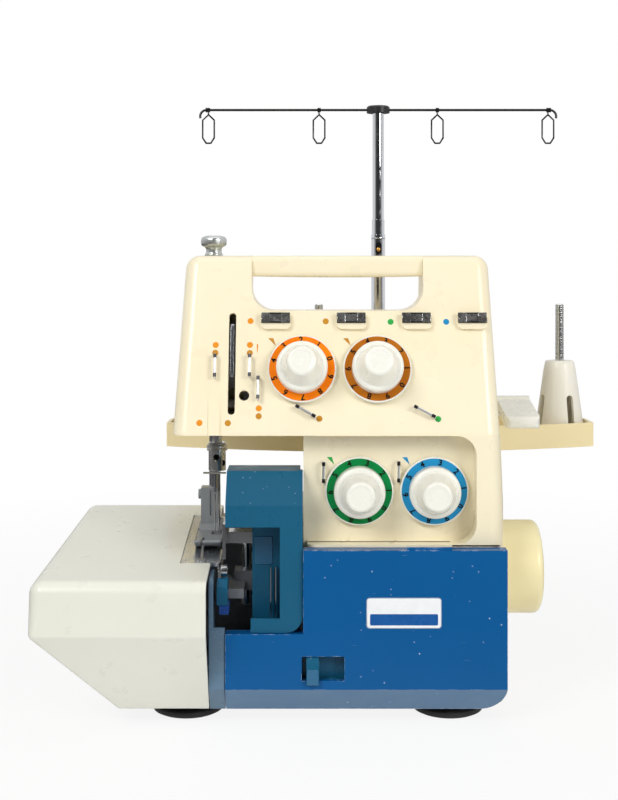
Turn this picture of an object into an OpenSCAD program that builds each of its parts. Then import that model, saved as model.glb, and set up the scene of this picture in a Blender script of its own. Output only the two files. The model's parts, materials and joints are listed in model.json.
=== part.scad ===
// Overlock machine with a C-shaped cast frame, a moulded two-part housing, four tension
// dials, a looper cover that tilts forward, a cloth plate that draws off to the left and a
// telescopic thread stand.
// X runs from the cloth plate to the handwheel, Y from front to back, and Z = 0 is the table.
// Sizes are laid out from a machine datum: x = 0 is the left side of the column and y = 0 the
// face of the looper cover. placed() then moves the datum so that the model's origin is the
// middle of its footprint.

/* [Housing] */
// Width of the column, from its left side to the handwheel side
column_w = 120.5; // [112:0.5:150]
// Reach of the arm to the left of the column
arm_reach = 78.5; // [70:0.5:100]
// Height of the underside of the arm
arm_z = 172; // [166:0.5:190]
// Height of the housing's top
body_h = 280; // [272:0.5:310]
// Depth of the housing behind the looper cover's face
body_d = 135; // [130:0.5:160]
// Lean of the upper face from upright, in degrees
face_lean = 16.5; // [8:0.5:18]
// Setback of the upper face's foot behind the looper cover's face
face_setback = 10; // [9:0.5:14]
// Narrowing of each side of the housing towards its top
side_draft = 5; // [0:0.5:6]
// Wall of the moulded housings
shell_t = 3; // [2:0.25:4]
// Height at which the column's right side starts to draw in
shoulder_z = 130; // [120:1:140]
// Radius of the housing's soft edges
edge_r = 9; // [6:0.5:12]
// Depth at which the front housing meets the rear housing
split_y = 95; // [94:0.5:100]
// Half the width of the dark joint between housings
seam_gap = 0.15; // [0.1:0.05:0.3]

/* [Carry handle] */
// Width of the hand opening
grip_w = 106; // [90:1:120]
// Middle of the hand opening, from the column's left side
grip_x = 21; // [15:0.5:30]
// Depth of the hand opening below the housing's top
grip_drop = 34; // [28:0.5:38]
// Radius of the hand opening's lower corners
grip_r = 14; // [6:0.5:16]
// Widening of the hand opening behind the bar
grip_step = 5; // [2:0.5:8]
// Height of the handle bar
bar_h = 13; // [9:0.5:15]
// Depth of the handle bar from front to back
bar_d = 17; // [12:0.5:24]
// Sag of the bar's lower edge at its middle
bar_sag = 0.6; // [0.3:0.1:3]

/* [Lower panel] */
// Setback of the lower panel behind the foot of the upper face
panel_setback = 14; // [10:0.5:18]
// Width of the lower panel's recess
panel_w = 103.5; // [100:0.5:110]
// Radius of the recess's right corners
panel_r = 12; // [6:0.5:16]
// Height of the recess's lower edge
panel_z = 107; // [105:0.5:112]

/* [Tension dials] */
// Diameter of a dial's flange
dial_d = 41.5; // [38:0.5:44]
// Thickness of a dial's flange
dial_t = 3.2; // [2.4:0.1:4]
// Outer diameter of the number band
band_d = 39.5; // [36:0.25:41]
// Diameter of the round skirt inside the number band
skirt_d = 31; // [27:0.5:33]
// Height of the skirt above the panel
skirt_h = 12.5; // [9:0.5:15]
// Diameter of the knob at its root
knob_root_d = 24.5; // [20:0.5:27]
// Diameter of the knob's face
knob_d = 18; // [14:0.5:22]
// Height of the knob above the panel
knob_h = 26; // [20:0.5:30]
// Gap between a dial and its panel
dial_gap = 0.8; // [0.4:0.1:1.2]
// Diameter of a tension stud
stud_d = 6; // [5:0.5:7]
// Rise of the upper dials' axes above the middle of the leaning face
upper_dial_rise = 1.6; // [-1:0.2:3]
// Middle of the upper pair, from the column's left side
upper_dial_x = 22; // [18:0.5:26]
// Spacing of the upper pair
upper_pitch = 45.5; // [44:0.5:50]
// Height of the lower dials' axes
lower_dial_z = 137.3; // [134:0.5:142]
// Middle of the lower pair, from the column's left side
lower_dial_x = 56.6; // [54:0.2:58]
// Spacing of the lower pair
lower_pitch = 45.4; // [44:0.2:48]

/* [Looper cover] */
// Height of the looper cover's top edge
cover_z = 105.8; // [105.5:0.1:110]
// Height of its lower edge above the table
cover_lift = 8.6; // [6:0.2:10]
// Wall of the looper cover
cover_t = 3; // [2:0.25:4]
// Depth of the looper cover's rim
cover_d = 9.4; // [8:0.1:9.6]
// Reach of the cover's low part to the left of the column
cover_reach = 46; // [40:0.5:48]
// Height of the cover's low part
cover_step_z = 56.5; // [50:0.5:60]
// Height of the bevel along the cover's foot
bevel_h = 15.2; // [10:0.2:20]
// Depth of that bevel
bevel_d = 12; // [8:0.5:14]
// Radius of the cover's lower right corner
cover_r = 15; // [10:0.5:20]

/* [Needle cover] */
// Height of the needle cover's top
guard_z = 150; // [146:0.5:154]
// Height at which its face starts to lean back
guard_fold_z = 131.7; // [128:0.5:136]
// Setback of its top edge
guard_lean = 15.6; // [10:0.2:20]
// Depth of the needle cover
guard_d = 41; // [38:0.5:44]
// Wall of the needle cover
guard_t = 2.5; // [2:0.25:3]
// Height of the window's top
window_z = 119; // [112:0.5:124]
// Width of the window
window_w = 30.5; // [26:0.5:33]
// Depth of the window's pocket
window_d = 24; // [18:0.5:28]

/* [Cloth plate] */
// Width of the cloth plate
plate_w = 102.9; // [96:0.1:120]
// Distance from the column's left side to the cloth plate
plate_gap = 56; // [55.5:0.1:58]
// Overhang of the cloth plate in front of the looper cover
plate_nose = 18; // [12:0.5:24]
// Depth of the cloth plate at its rear edge
plate_back = 144; // [138:0.5:150]
// Height of the work surface above the table at the looper cover's face
work_z = 92.3; // [90:0.1:96]
// Rise of the work surface towards the back, in degrees
work_lean = 6.2; // [0:0.1:7]
// Height at which the plate's front tucks under
tuck_z = 60.7; // [55:0.5:66]
// Depth by which its foot tucks back
tuck_d = 25; // [15:0.5:30]
// Width of the slanted lower left side
plate_slant = 47; // [30:0.5:55]
// Wall of the cloth plate
plate_t = 2.4; // [2:0.1:2.8]
// Thickness of the steel needle plate
steel_t = 2; // [1.5:0.1:2.5]
// Width of the needle plate
steel_w = 24; // [22:0.5:28]

/* [Sewing head] */
// Distance of the needle bar to the left of the column
needle_reach = 55.5; // [55:0.1:57]
// Depth of the needle line
needle_y = 70; // [68:0.5:72]
// Diameter of the needle bar
needle_bar_d = 6.4; // [6:0.1:7]
// Distance of the presser bar to the left of the needle bar
presser_dx = 3; // [2:0.1:4]
// Distance of the presser bar behind the needle bar
presser_dy = 12; // [11.5:0.1:13]
// Diameter of the presser bar
presser_bar_d = 6; // [5.5:0.1:6.5]
// Height of the needle tips at rest
tip_z = 103; // [102.5:0.1:106]
// Radial running clearance of bars and shafts
run_gap = 0.05; // [0.03:0.01:0.08]
// Diameter of the needle clamp
clamp_d = 11; // [10:0.2:11.6]
// Height of the needle clamp
clamp_h = 12.8; // [10:0.2:15]

/* [Drive] */
// Diameter of the main shaft
shaft_d = 9; // [8:0.5:10]
// Depth of the main shaft's axis
shaft_y = 70; // [68:0.5:72]
// Height of the main shaft's axis
shaft_z = 81; // [78:0.5:84]
// Diameter of the handwheel
wheel_d = 58.5; // [54:0.5:66]
// Width of the handwheel
wheel_w = 27.5; // [24:0.5:36]
// Gap between the housing and the handwheel
wheel_gap = 2; // [1:0.5:4]
// Diameter of the motor
motor_d = 46; // [40:1:50]
// Length of the motor
motor_l = 62; // [50:1:70]

/* [Thread stand] */
// Clearance between the end cones and the tray's rim
cone_clear = 0.45; // [0.3:0.05:2]
// Depth of the spool tray
tray_d = 79; // [70:0.5:90]
// Height of the tray's underside
tray_z = 144.8; // [138:0.2:150]
// Height of the tray's wall
tray_h = 17; // [14:0.2:22]
// Wall of the tray
tray_t = 2.5; // [2:0.25:3]
// Radius of the tray's bowed front
tray_bow_r = 400; // [350:10:700]
// Radius of the tray's corners
tray_r = 30; // [15:1:38]
// Middle of the tray, from the column's left side
tray_x = 54.4; // [40:0.2:64]
// Spacing of the spool pins
pin_pitch = 87.6; // [80:0.2:92]
// Diameter of a spool pin above its cone holder
pin_d = 6; // [5:0.5:7]
// Diameter of the pin's root inside the cone holder
pin_root_d = 7; // [6.5:0.5:9]
// Height of the pins' tips above the table
pin_z = 246.4; // [230:0.2:255]
// Diameter of a cone holder's foot
cone_d = 37; // [34:0.5:40]
// Diameter of its top
cone_top_d = 23; // [20:0.5:26]
// Height of a cone holder
cone_h = 51.5; // [46:0.5:58]
// Height of the mast's top
mast_z = 391.5; // [370:0.5:420]
// Diameter of the mast's lower tube
mast_d = 10.2; // [9:0.1:12]
// Wall of the mast's tubes
tube_t = 0.4; // [0.3:0.05:0.8]
// Height of the top of the lower tube
lower_tube_z = 297; // [285:0.5:310]
// Height of the top of the middle tube
middle_tube_z = 308; // [300:0.5:320]
// Length of the cross wire
cross_l = 254; // [240:1:280]
// Diameter of the guide wire
wire_d = 1.8; // [1.4:0.1:2.2]
// Spacing of the two loops beside the mast
loop_inner = 87; // [80:0.2:92]
// Spacing from each of them to the end loop
loop_outer = 81.4; // [76:0.2:86]
// Diameter of a loop's wire
loop_wire_d = 1.3; // [1:0.1:1.8]
// Width of a hanging loop
loop_w = 9.8; // [8:0.2:12]
// Height of a hanging loop
loop_h = 21; // [14:0.5:24]
// Diameter of a rubber foot
foot_d = 44; // [38:1:48]
// Height of a rubber foot
foot_h = 10; // [8.6:0.2:12]
// Depth of the front feet's middles
foot_front_y = 39; // [36:1:48]
// Depth of the rear feet's middles
foot_rear_y = 112; // [100:1:116]
// Distance of the left feet to the left of the column
foot_left = 71; // [64:1:76]
// Distance of the right feet to the left of the column's right side
foot_inset = 31.5; // [26:0.5:34]
// Height of a rubber foot's wide base
foot_rim_h = 5.2; // [4:0.1:6]
// Diameter of a rubber foot above its base
foot_neck_d = 30; // [24:0.5:31]

/* [Hidden] */
$fn = 48;
eps = 0.01;

cream = [0.99, 0.955, 0.84];
butter = [0.94, 0.87, 0.66];
steel = [0.72, 0.73, 0.75];
blue = [0.04, 0.35, 0.61];
teal = [0.1, 0.37, 0.5];

// Limits of the model, and the move that puts its origin under its middle.
tray_w = 3 * pin_pitch + cone_d + 2 * (tray_t + cone_clear);
tray_x1 = tray_x + tray_w / 2;
tray_y0 = body_d + 1;
tray_y1 = tray_y0 + tray_d;
plate_x0 = -plate_gap - plate_w;
mid_x = (plate_x0 + tray_x1) / 2;
mid_y = (tray_y1 - plate_nose) / 2;
module placed() translate([-mid_x, -mid_y, 0]) children();

// Places on the leaning upper face, on the upright lower panel and on the work surface.
lean_run = tan(face_lean);
function face_y(z) = face_setback + (z - arm_z) * lean_run;
panel_y = face_setback + panel_setback;
function work_height(y) = work_z + y * tan(work_lean);
module on_face(x, z) translate([x, face_y(z), z]) rotate([90 - face_lean, 0, 0]) children();
module on_panel(x, z) translate([x, panel_y, z]) rotate([90, 0, 0]) children();
module on_work() translate([0, 0, work_z]) rotate([work_lean, 0, 0]) children();
module above_work(h) on_work() translate([-400, -200, h]) cube([800, 600, 300]);

// Small shapes that many pieces share.
module block(x0, x1, y0, y1, z0, z1) translate([x0, y0, z0]) cube([x1 - x0, y1 - y0, z1 - z0]);
module rod_x(x0, x1, y, z, d) translate([x0, y, z]) rotate([0, 90, 0]) cylinder(d = d, h = x1 - x0);
module rod_y(x, y0, y1, z, d) translate([x, y0, z]) rotate([-90, 0, 0]) cylinder(d = d, h = y1 - y0);
module rod_z(x, y, z0, z1, d) translate([x, y, z0]) cylinder(d = d, h = z1 - z0);
module round_square(x0, x1, y0, y1, r) {
  translate([x0 + r, y0]) square([x1 - x0 - 2 * r, y1 - y0]);
  translate([x0, y0 + r]) square([x1 - x0, y1 - y0 - 2 * r]);
  for (x = [x0 + r, x1 - r], y = [y0 + r, y1 - r]) translate([x, y]) circle(r = r);
}
// A profile drawn in X and Z, and extruded from y0 to y1.
module along_y(y0, y1) translate([0, y1, 0]) rotate([90, 0, 0]) linear_extrude(y1 - y0) children();
// A profile drawn in Y and Z, and extruded from x0 to x1.
module along_x(x0, x1) translate([x0, 0, 0]) rotate([90, 0, 90]) linear_extrude(x1 - x0) children();
module ball(x, y, z, r) translate([x, y, z]) sphere(r = r, $fn = 28);

// Housing forms. inset shrinks them evenly, which gives the outside and the inside of a wall.
face_tuck = edge_r / cos(face_lean);
arm_top_z = body_h - edge_r;
arm_left = -arm_reach;
shoulder_in = side_draft * 0.4;
module arm_form(inset) {
  r = edge_r - inset;
  hull() for (y = [0, 1], side = [0, 1]) {
    low_x = side == 0 ? arm_left + edge_r : column_w - shoulder_in - edge_r;
    top_x = side == 0 ? low_x + side_draft : low_x - side_draft * 0.6;
    ball(low_x, y == 0 ? face_y(arm_z) + face_tuck : body_d - edge_r, arm_z, r);
    ball(top_x, y == 0 ? face_y(arm_top_z) + face_tuck : body_d - edge_r - 3, arm_top_z, r);
  }
}
module column_form(inset) {
  r = edge_r - inset;
  hull() for (y = [face_setback + edge_r, body_d - edge_r]) {
    for (x = [edge_r, column_w - edge_r]) ball(x, y, column_floor, r);
    ball(edge_r, y, arm_z + 6, r);
    ball(column_w - edge_r, y, shoulder_z, r);
    ball(column_w - shoulder_in - edge_r, y, arm_z + 6, r);
  }
}
saddle_z = body_h - grip_drop;
bar_y0 = face_y(body_h) + 0.5;
module grip_outline(grow) round_square(grip_x - grip_w / 2 - grow, grip_x + grip_w / 2 + grow,
                                       saddle_z - grow, body_h + 30, grip_r);
// The hand opening: it widens behind the handle bar.
module saddle(grow) {
  along_y(-1, body_d + 1) grip_outline(grow);
  along_y(bar_y0 + bar_d + 1 - grow, body_d + 1) grip_outline(grow + grip_step);
}
col_left = -1.5;
sill_z = panel_z - 5;
column_floor = foot_h + 2;

module housing_wall() {
  difference() {
    union() {
      difference() {
        arm_form(0);
        block(-200, 300, -50, 300, -50, arm_z);
      }
      difference() {
        column_form(0);
        block(-50, col_left, -50, 300, -50, 300);
        block(-50, 300, -50, 300, arm_z + eps, 300);
      }
    }
    difference() {
      arm_form(shell_t);
      block(-200, 300, -50, 300, -50, arm_z + shell_t);
      saddle(shell_t);
    }
    difference() {
      column_form(shell_t);
      block(-50, col_left + shell_t, -50, 300, -50, 300);
      block(-50, 300, -50, 300, arm_z + shell_t + eps, 300);
      block(-50, panel_w + shell_t, -50, panel_y + shell_t, sill_z, arm_z);
    }
    saddle(0);
    block(-50, column_w + 50, -50, 300, -50, column_floor);
  }
}
module panel_recess() along_y(-10, panel_y) round_square(-60, panel_w, panel_z, arm_z, panel_r);

upper_dial_z = (arm_z + saddle_z) / 2 + upper_dial_rise;
upper_dials = [upper_dial_x - upper_pitch / 2, upper_dial_x + upper_pitch / 2];
lower_dials = [lower_dial_x - lower_pitch / 2, lower_dial_x + lower_pitch / 2];
module at_dial(i) {
  if (i < 2) on_face(upper_dials[i], upper_dial_z) children();
  else on_panel(lower_dials[i - 2], lower_dial_z) children();
}
module at_dials() for (i = [0:3]) at_dial(i) children();

slot_x = -43.2;
slot_w = 4.3;
slot_z = [arm_z + 12.3, body_h - 35.3];
slot_half = (slot_z[1] - slot_z[0]) / 2 / cos(face_lean);
thread_hole = [-35.6, arm_z + 23.5];
thread_hole_d = 6.3;
needle_x = -needle_reach;
presser_x = needle_x - presser_dx;
presser_y = needle_y + presser_dy;
head_mouth = [arm_left + shell_t + 3, -40];
rod_clear = 0.6;

module front_housing() color(cream) placed() difference() {
  union() {
    housing_wall();
    clip_bosses();
  }
  block(-200, 300, split_y - seam_gap, 300, -50, 400);
  panel_recess();
  // The looper chamber is open to the front, below the panel.
  block(-50, column_w - shell_t - 1, -10, 300, -10, sill_z);
  block(-50, column_w + 5, -10, cover_d + 0.6, -10, cover_z + 0.3);
  block(-50, column_w + 5, -10, bevel_d + 0.6, -10, cover_lift + bevel_h + 21);
  block(-50, column_w + 5, -10, bevel_d + swing_room, -10, hinge_z + 1);
  // The column's left wall is open below the bed cover's top, but not under the panel.
  block(-50, col_left + shell_t + 1, -10, panel_y, -10, bed_z + 0.3);
  block(-50, col_left + shell_t + 1, panel_y + shell_t, 300, -10, bed_z + 0.3);
  // Mouth for the needle and presser bars.
  block(head_mouth[0], head_mouth[1], 36, split_y + 1, arm_z - 1, arm_z + shell_t + 1);
  // Take-up slot, thread hole and thread channel.
  on_face(slot_x, (slot_z[0] + slot_z[1]) / 2) linear_extrude(12, center = true)
    round_square(-slot_w / 2, slot_w / 2, -slot_half, slot_half, slot_w / 2 - eps);
  on_face(thread_hole[0], thread_hole[1]) cylinder(d = thread_hole_d, h = 12, center = true);
  on_face(-53.3, arm_z) translate([-4, -6, -1.6]) rotate([2.6, 0, 0]) cube([8, 42, 6]);
  // Clearance holes for the tension studs.
  at_dials() cylinder(d = stud_d + 2, h = 4 * shell_t, center = true);
  // Ways through for the pressure screw and the main shaft.
  rod_z(presser_x, presser_y, body_h - 10, body_h + 5, screw_d + rod_clear);
  rod_x(column_w - 12, column_w + 5, shaft_y, shaft_z, shaft_d + 2 * rod_clear);
}

module rear_housing() color(cream) placed() difference() {
  housing_wall();
  block(-200, 300, -50, split_y + seam_gap, -50, 400);
  // The bed cover takes the place of the column's left wall below the arm.
  block(-50, walls_x[0], -10, 300, -10, bed_z + 0.3);
  // Cooling louvres behind the motor.
  for (i = [0:5]) along_y(body_d - 6, body_d + 1)
    round_square(52, 92, 30 + 7 * i, 33 + 7 * i, 1.4);
  // Openings for the inlet, the switch and the lifter's shaft.
  block(column_w - 8, column_w + 2, inlet_y[0], inlet_y[1], inlet_z[0], inlet_z[1]);
  block(column_w - 8, column_w + 2, switch_y[0], switch_y[1], switch_z[0], switch_z[1]);
  rod_x(column_w - 20, column_w + 5, lifter_y, lifter_z, lifter_d + rod_clear);
}

module carry_handle() color(cream) placed() intersection() {
  sag_r = (pow(grip_w / 2, 2) + pow(bar_sag, 2)) / (2 * bar_sag);
  along_x(grip_x - grip_w / 2 + 0.02, grip_x + grip_w / 2 - 0.02)
    round_square(bar_y0, bar_y0 + bar_d, body_h - bar_h - bar_sag, body_h - 0.1, 4);
  along_y(0, body_d) translate([grip_x, body_h - bar_h - bar_sag + sag_r]) circle(r = sag_r, $fn = 1200);
}

// Bed cover: the plain box between the needle cover and the back, under the arm.
bed_z = 118;
bed_x0 = -46;
bed_y0 = guard_d + 0.3;
module bed_cover() color(cream) placed() difference() {
  along_y(bed_y0, body_d - 1) union() {
    round_square(bed_x0, col_left + shell_t, column_floor, bed_z, 5);
    translate([-15, column_floor]) square([15 + col_left + shell_t, bed_z - column_floor]);
  }
  block(bed_x0 + shell_t, col_left + shell_t + 5, bed_y0 - 5, body_d - 1 - shell_t,
        column_floor - 5, bed_z - shell_t);
  // Open side towards the needles, for the upper looper and the knife.
  block(bed_x0 - 5, bed_x0 + shell_t + 1, bed_y0 - 5, block_y[1] + 1, -5, bed_z - shell_t);
}

// Looper cover: an L-shaped tray that stands on its hinge pins.
module cover_outline(inset) {
  r = cover_r - inset;
  x1 = column_w - inset;
  difference() {
    union() {
      translate([-cover_reach + inset, cover_lift])
        square([x1 + cover_reach - inset, cover_step_z - inset - cover_lift]);
      translate([inset, cover_lift]) square([x1 - inset, cover_z - cover_lift - inset]);
    }
    translate([x1 - r, cover_lift + inset]) difference() {
      translate([0, -inset - 1]) square([r + 1, r + inset + 1]);
      translate([0, r]) circle(r = r);
    }
  }
}
module cover_section(inset) polygon([
  [inset, cover_z - inset], [inset, cover_lift + bevel_h + inset * 0.4],
  [bevel_d + inset * 0.6, cover_lift + inset], [bevel_d + inset * 0.6, cover_lift + bevel_h + 12],
  [cover_d + inset, cover_lift + bevel_h + 20], [cover_d + inset, cover_z - inset]
]);
hinge_y = 17.5;
// Room behind the cover's foot for its swing.
swing_room = 2.2;
hinge_z = 16;
hinge_d = 4;
knuckles = [[-24, 0.3, 8], [94, 0.3, 8]];
tab_x0 = -0.8;
tab_w = 25.1;
tab_z = [29.1, 43.3];
tab_deep = 7;
module looper_cover() color(blue) placed() {
  difference() {
    intersection() {
      along_y(0, bevel_d) cover_outline(0);
      along_x(-cover_reach, column_w) cover_section(0);
    }
    intersection() {
      along_y(cover_t, bevel_d + 5) cover_outline(cover_t);
      along_x(-cover_reach + cover_t, column_w - cover_t) cover_section(cover_t);
    }
    block(tab_x0, tab_x0 + tab_w, -1, cover_t + 1, tab_z[0], tab_z[1]);
  }
  // Raised lip along the top, to pull the cover open.
  along_x(61, 88) translate([0.6, cover_z - eps]) square([2.2, 1.6]);
  for (k = knuckles) difference() {
    union() {
      rod_x(k[0] + k[1], k[0] + k[2], hinge_y, hinge_z, hinge_d + 4);
      along_x(k[0] + k[1], k[0] + k[2]) polygon([
        [hinge_y - 3.4, hinge_z + 2], [hinge_y, hinge_z + 3.9], [cover_t - 0.4, cover_lift + bevel_h + 8],
        [cover_t - 0.4, cover_lift + bevel_h + 1]]);
    }
    rod_x(k[0] - 1, k[0] + 10, hinge_y, hinge_z, hinge_d + 0.1);
  }
}
module tab_tray() color(teal) placed() difference() {
  block(tab_x0 - 1.6, tab_x0 + tab_w + 1.6, cover_t, cover_t + tab_deep, tab_z[0] - 1.6, tab_z[1] + 1.6);
  block(tab_x0, tab_x0 + tab_w, cover_t - 1, cover_t + tab_deep - 1.6, tab_z[0], tab_z[1]);
}
tab_back = cover_t + tab_deep - 1.9;
// The tab's nose stands out of the slot and hangs over its lower edge.
module stitch_tab() color(teal) placed() along_x(1.9, 9.4) polygon([
  [tab_back, tab_z[1] - 0.3], [tab_back, tab_z[0] + 0.3], [-0.4, tab_z[0] + 0.3],
  [-0.6, tab_z[0] - 2.2], [-2.8, tab_z[0] - 1.8], [-2.8, tab_z[0] + 7.4], [-0.6, tab_z[1] - 2.2],
  [1.4, tab_z[1] - 0.3]
]);
module hinge_pins() color(steel) placed() {
  for (k = knuckles) rod_x(k[0] - 7.5, k[0] + 9, hinge_y, hinge_z, hinge_d);
  // Pin of the take-up lever.
  rod_x(slot_x - 5.5, slot_x + 5.5, take_up_y, take_up_z, pivot_d);
}

// Needle cover: the teal guard over the knives and the upper looper's drive.
module guard_outline(inset) {
  r = 10;
  difference() {
    translate([-cover_reach + inset, cover_step_z + 0.3 + inset])
      square([cover_reach - 0.3 - 2 * inset, guard_z - cover_step_z - 0.3 - 2 * inset]);
    translate([-0.3 - inset - r, cover_step_z + 0.3 + inset + r]) difference() {
      translate([0, -r - 1]) square([r + 1, r + 1]);
      circle(r = r);
    }
  }
}
module guard_section(inset) polygon([
  [2 + inset, cover_step_z], [2 + inset, guard_fold_z - inset * 0.3],
  [2 + guard_lean + inset * 0.7, guard_z - inset], [guard_d, guard_z - inset], [guard_d, cover_step_z]
]);
window_x1 = -guard_t - 11.2;
module needle_cover() color(teal) placed() difference() {
  union() {
    difference() {
      intersection() {
        along_y(0, guard_d) guard_outline(0);
        along_x(-cover_reach, 0) guard_section(0);
      }
      intersection() {
        along_y(guard_t, guard_d + 5) guard_outline(guard_t);
        along_x(-cover_reach + guard_t, -guard_t) guard_section(guard_t);
      }
    }
    // Pocket walls round the window.
    block(window_x1 - eps, window_x1 + guard_t, 2 + eps, 2 + window_d + guard_t,
          cover_step_z + 3, window_z + guard_t);
    block(-cover_reach, window_x1 + guard_t, 2 + eps, 2 + window_d + guard_t, window_z, window_z + guard_t);
    block(-31, window_x1 + guard_t, 2 + window_d, 2 + window_d + guard_t,
          cover_step_z + 3, window_z + guard_t);
  }
  block(-cover_reach - 5, window_x1, -5, 2 + window_d, 65, window_z);
  block(-cover_reach - 5, -31, -5, guard_d + 5, cover_step_z - 5, window_z);
  // Step that lets the column's side wall pass behind the panel.
  block(col_left - 0.3, 1, panel_y - 0.3, guard_d + 1, sill_z - 0.5, guard_z + 1);
}

// Side plate between the cloth plate and the looper cover.
module side_plate() color(teal) placed() difference() {
  along_x(-plate_gap + 0.3, -cover_reach - 0.3) polygon([
    [1, cover_lift + bevel_h], [bevel_d, cover_lift], [bevel_d + 8, cover_lift],
    [bevel_d + 8, work_z - 2], [4, work_z + 0.5 - 4], [1, work_z - 7]]);
  along_x(-plate_gap + 2.5, -cover_reach + 2) polygon([
    [3.2, cover_lift + bevel_h + 1], [bevel_d + 1.5, cover_lift + 3], [bevel_d + 12, cover_lift + 3],
    [bevel_d + 12, work_z + 6], [3.2, work_z + 6]]);
  block(-53, -cover_reach + 5, -5, 40, 60, work_z + 5);
}

// Cloth plate: a hollow cover that is open below and towards the needle plate.
plate_top_r = 8;
module plate_form(inset) {
  r = plate_top_r - inset;
  back_top = work_height(plate_back) - plate_top_r;
  hull() for (right = [0, 1]) {
    run = right == 0 ? 0 : plate_w + 30;
    ball(plate_x0 + plate_top_r + run, -plate_nose + plate_top_r, work_height(-10) - plate_top_r, r);
    ball(plate_x0 + 8 + plate_top_r + run, plate_back - plate_top_r, back_top, r);
    ball(plate_x0 + 4 + run, -plate_nose + 4, tuck_z, 4 - inset);
    ball(plate_x0 + plate_slant + 3 + run, tuck_d - plate_nose + 3, cover_lift + 4, 3 - inset);
    ball(plate_x0 + 13 + run, plate_back - 5, tuck_z + 5, 4 - inset);
    ball(plate_x0 + plate_slant + 3 + run, plate_back - 9, cover_lift + 6, 3 - inset);
  }
}
steel_x0 = needle_x - 18.5;
steel_y = [18, 114];
module cloth_plate() color([0.93, 0.93, 0.89]) placed() difference() {
  plate_form(0);
  plate_form(plate_t);
  block(-plate_gap, 100, -50, 200, -10, 200);
  block(plate_x0 + plate_slant - 2, 0, -50, 200, -10, cover_lift + 1.2);
  // Open below, inside its walls.
  block(plate_x0 + plate_slant + 3.2, 0, tuck_d - plate_nose + 3.2, plate_back - 9.2, -10, cover_lift + 9);
  block(steel_x0 - 0.3, 0, steel_y[0] - 0.3, steel_y[1] + 0.3, 80, 200);
}
// The bed's parts end inside the cloth plate as well as inside the housing.
frame_back = min(body_d, plate_back - 9);
block_y = [needle_y + 28, frame_back - 5];
module needle_plate() color(steel) placed() on_work() {
  difference() {
    translate([steel_x0, steel_y[0], -steel_t]) linear_extrude(steel_t) difference() {
      round_square(0, steel_w, 0, steel_y[1] - steel_y[0], 3);
      // Stitch finger and slots for needles and feed dog.
      translate([steel_w - 3.5, 26]) square([10, 34]);
      translate([16, 47.5]) square([5, 8]);
      for (x = [5, 10.5]) translate([x, 38]) square([2.6, 32]);
    }
    translate([steel_x0 + 11, steel_y[0] + 4.5, -5]) cylinder(d = 3.4, h = 10);
    translate([steel_x0 + 11, steel_y[1] - 8, -5]) cylinder(d = 3.4, h = 10);
  }
  // Two countersunk screws hold the plate.
  for (y = [steel_y[0] + 4.5, steel_y[1] - 8]) translate([steel_x0 + 11, y, -steel_t]) difference() {
    cylinder(d = 3.4, h = steel_t + 0.5);
    translate([-2, -0.4, steel_t]) cube([4, 0.8, 1]);
  }
}
module feed_dog() color(steel) placed() on_work() {
  for (x = [5.3, 10.8]) translate([steel_x0 + x, 0, 0]) along_x(0, 2) polygon(concat(
    [[84.5, -9], [58.5, -9]],
    [for (i = [0:12]) each [[58.5 + 2 * i, -0.7], [60 + 2 * i, -0.1]]]));
  translate([steel_x0 + 5.3, 62, -12]) cube([7.5, 19, 4]);
}

// Tension dials, drawn upright: z = 0 is the panel.
bracket_z = -15;
bracket_t = 3;
module dial_body() difference() {
  groove_z = dial_gap + dial_t - 1;
  rotate_extrude() polygon(concat(
    [[0, dial_gap], [dial_d / 2 - 0.6, dial_gap], [dial_d / 2, dial_gap + 0.8],
     [dial_d / 2, dial_gap + dial_t - 0.6], [dial_d / 2 - 0.4, dial_gap + dial_t],
     [band_d / 2 + 0.02, dial_gap + dial_t], [band_d / 2 + 0.02, groove_z],
     [skirt_d / 2 - 0.02, groove_z]],
    [for (a = [0:18:90]) [skirt_d / 2 - 0.02 - 2.2 + 2.2 * cos(a), skirt_h - 2.2 + 2.2 * sin(a)]],
    [[knob_root_d / 2 + 0.8, skirt_h], [knob_root_d / 2, skirt_h + 0.8]],
    [for (a = [0:18:90]) [knob_d / 2 - 2 + 2 * cos(a), knob_h - 2 + 2 * sin(a)]],
    [[knob_d / 2 - 3.4, knob_h - 0.4], [0, knob_h - 0.4]]));
  translate([0, 0, -1]) cylinder(d = stud_d + 0.1, h = knob_h - 7);
}
module number_band() translate([0, 0, dial_gap + dial_t - 1]) linear_extrude(1.25) difference() {
  circle(d = band_d);
  circle(d = skirt_d);
}
module dial_left_needle() color("white") placed() at_dial(0) dial_body();
module dial_right_needle() color("white") placed() at_dial(1) dial_body();
module dial_upper_looper() color("white") placed() at_dial(2) dial_body();
module dial_lower_looper() color("white") placed() at_dial(3) dial_body();
module band_left_needle() color([0.98, 0.45, 0.1]) placed() at_dial(0) number_band();
module band_right_needle() color([0.75, 0.4, 0.05]) placed() at_dial(1) number_band();
module band_upper_looper() color([0.05, 0.6, 0.3]) placed() at_dial(2) number_band();
module band_lower_looper() color([0.2, 0.6, 0.85]) placed() at_dial(3) number_band();

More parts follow.
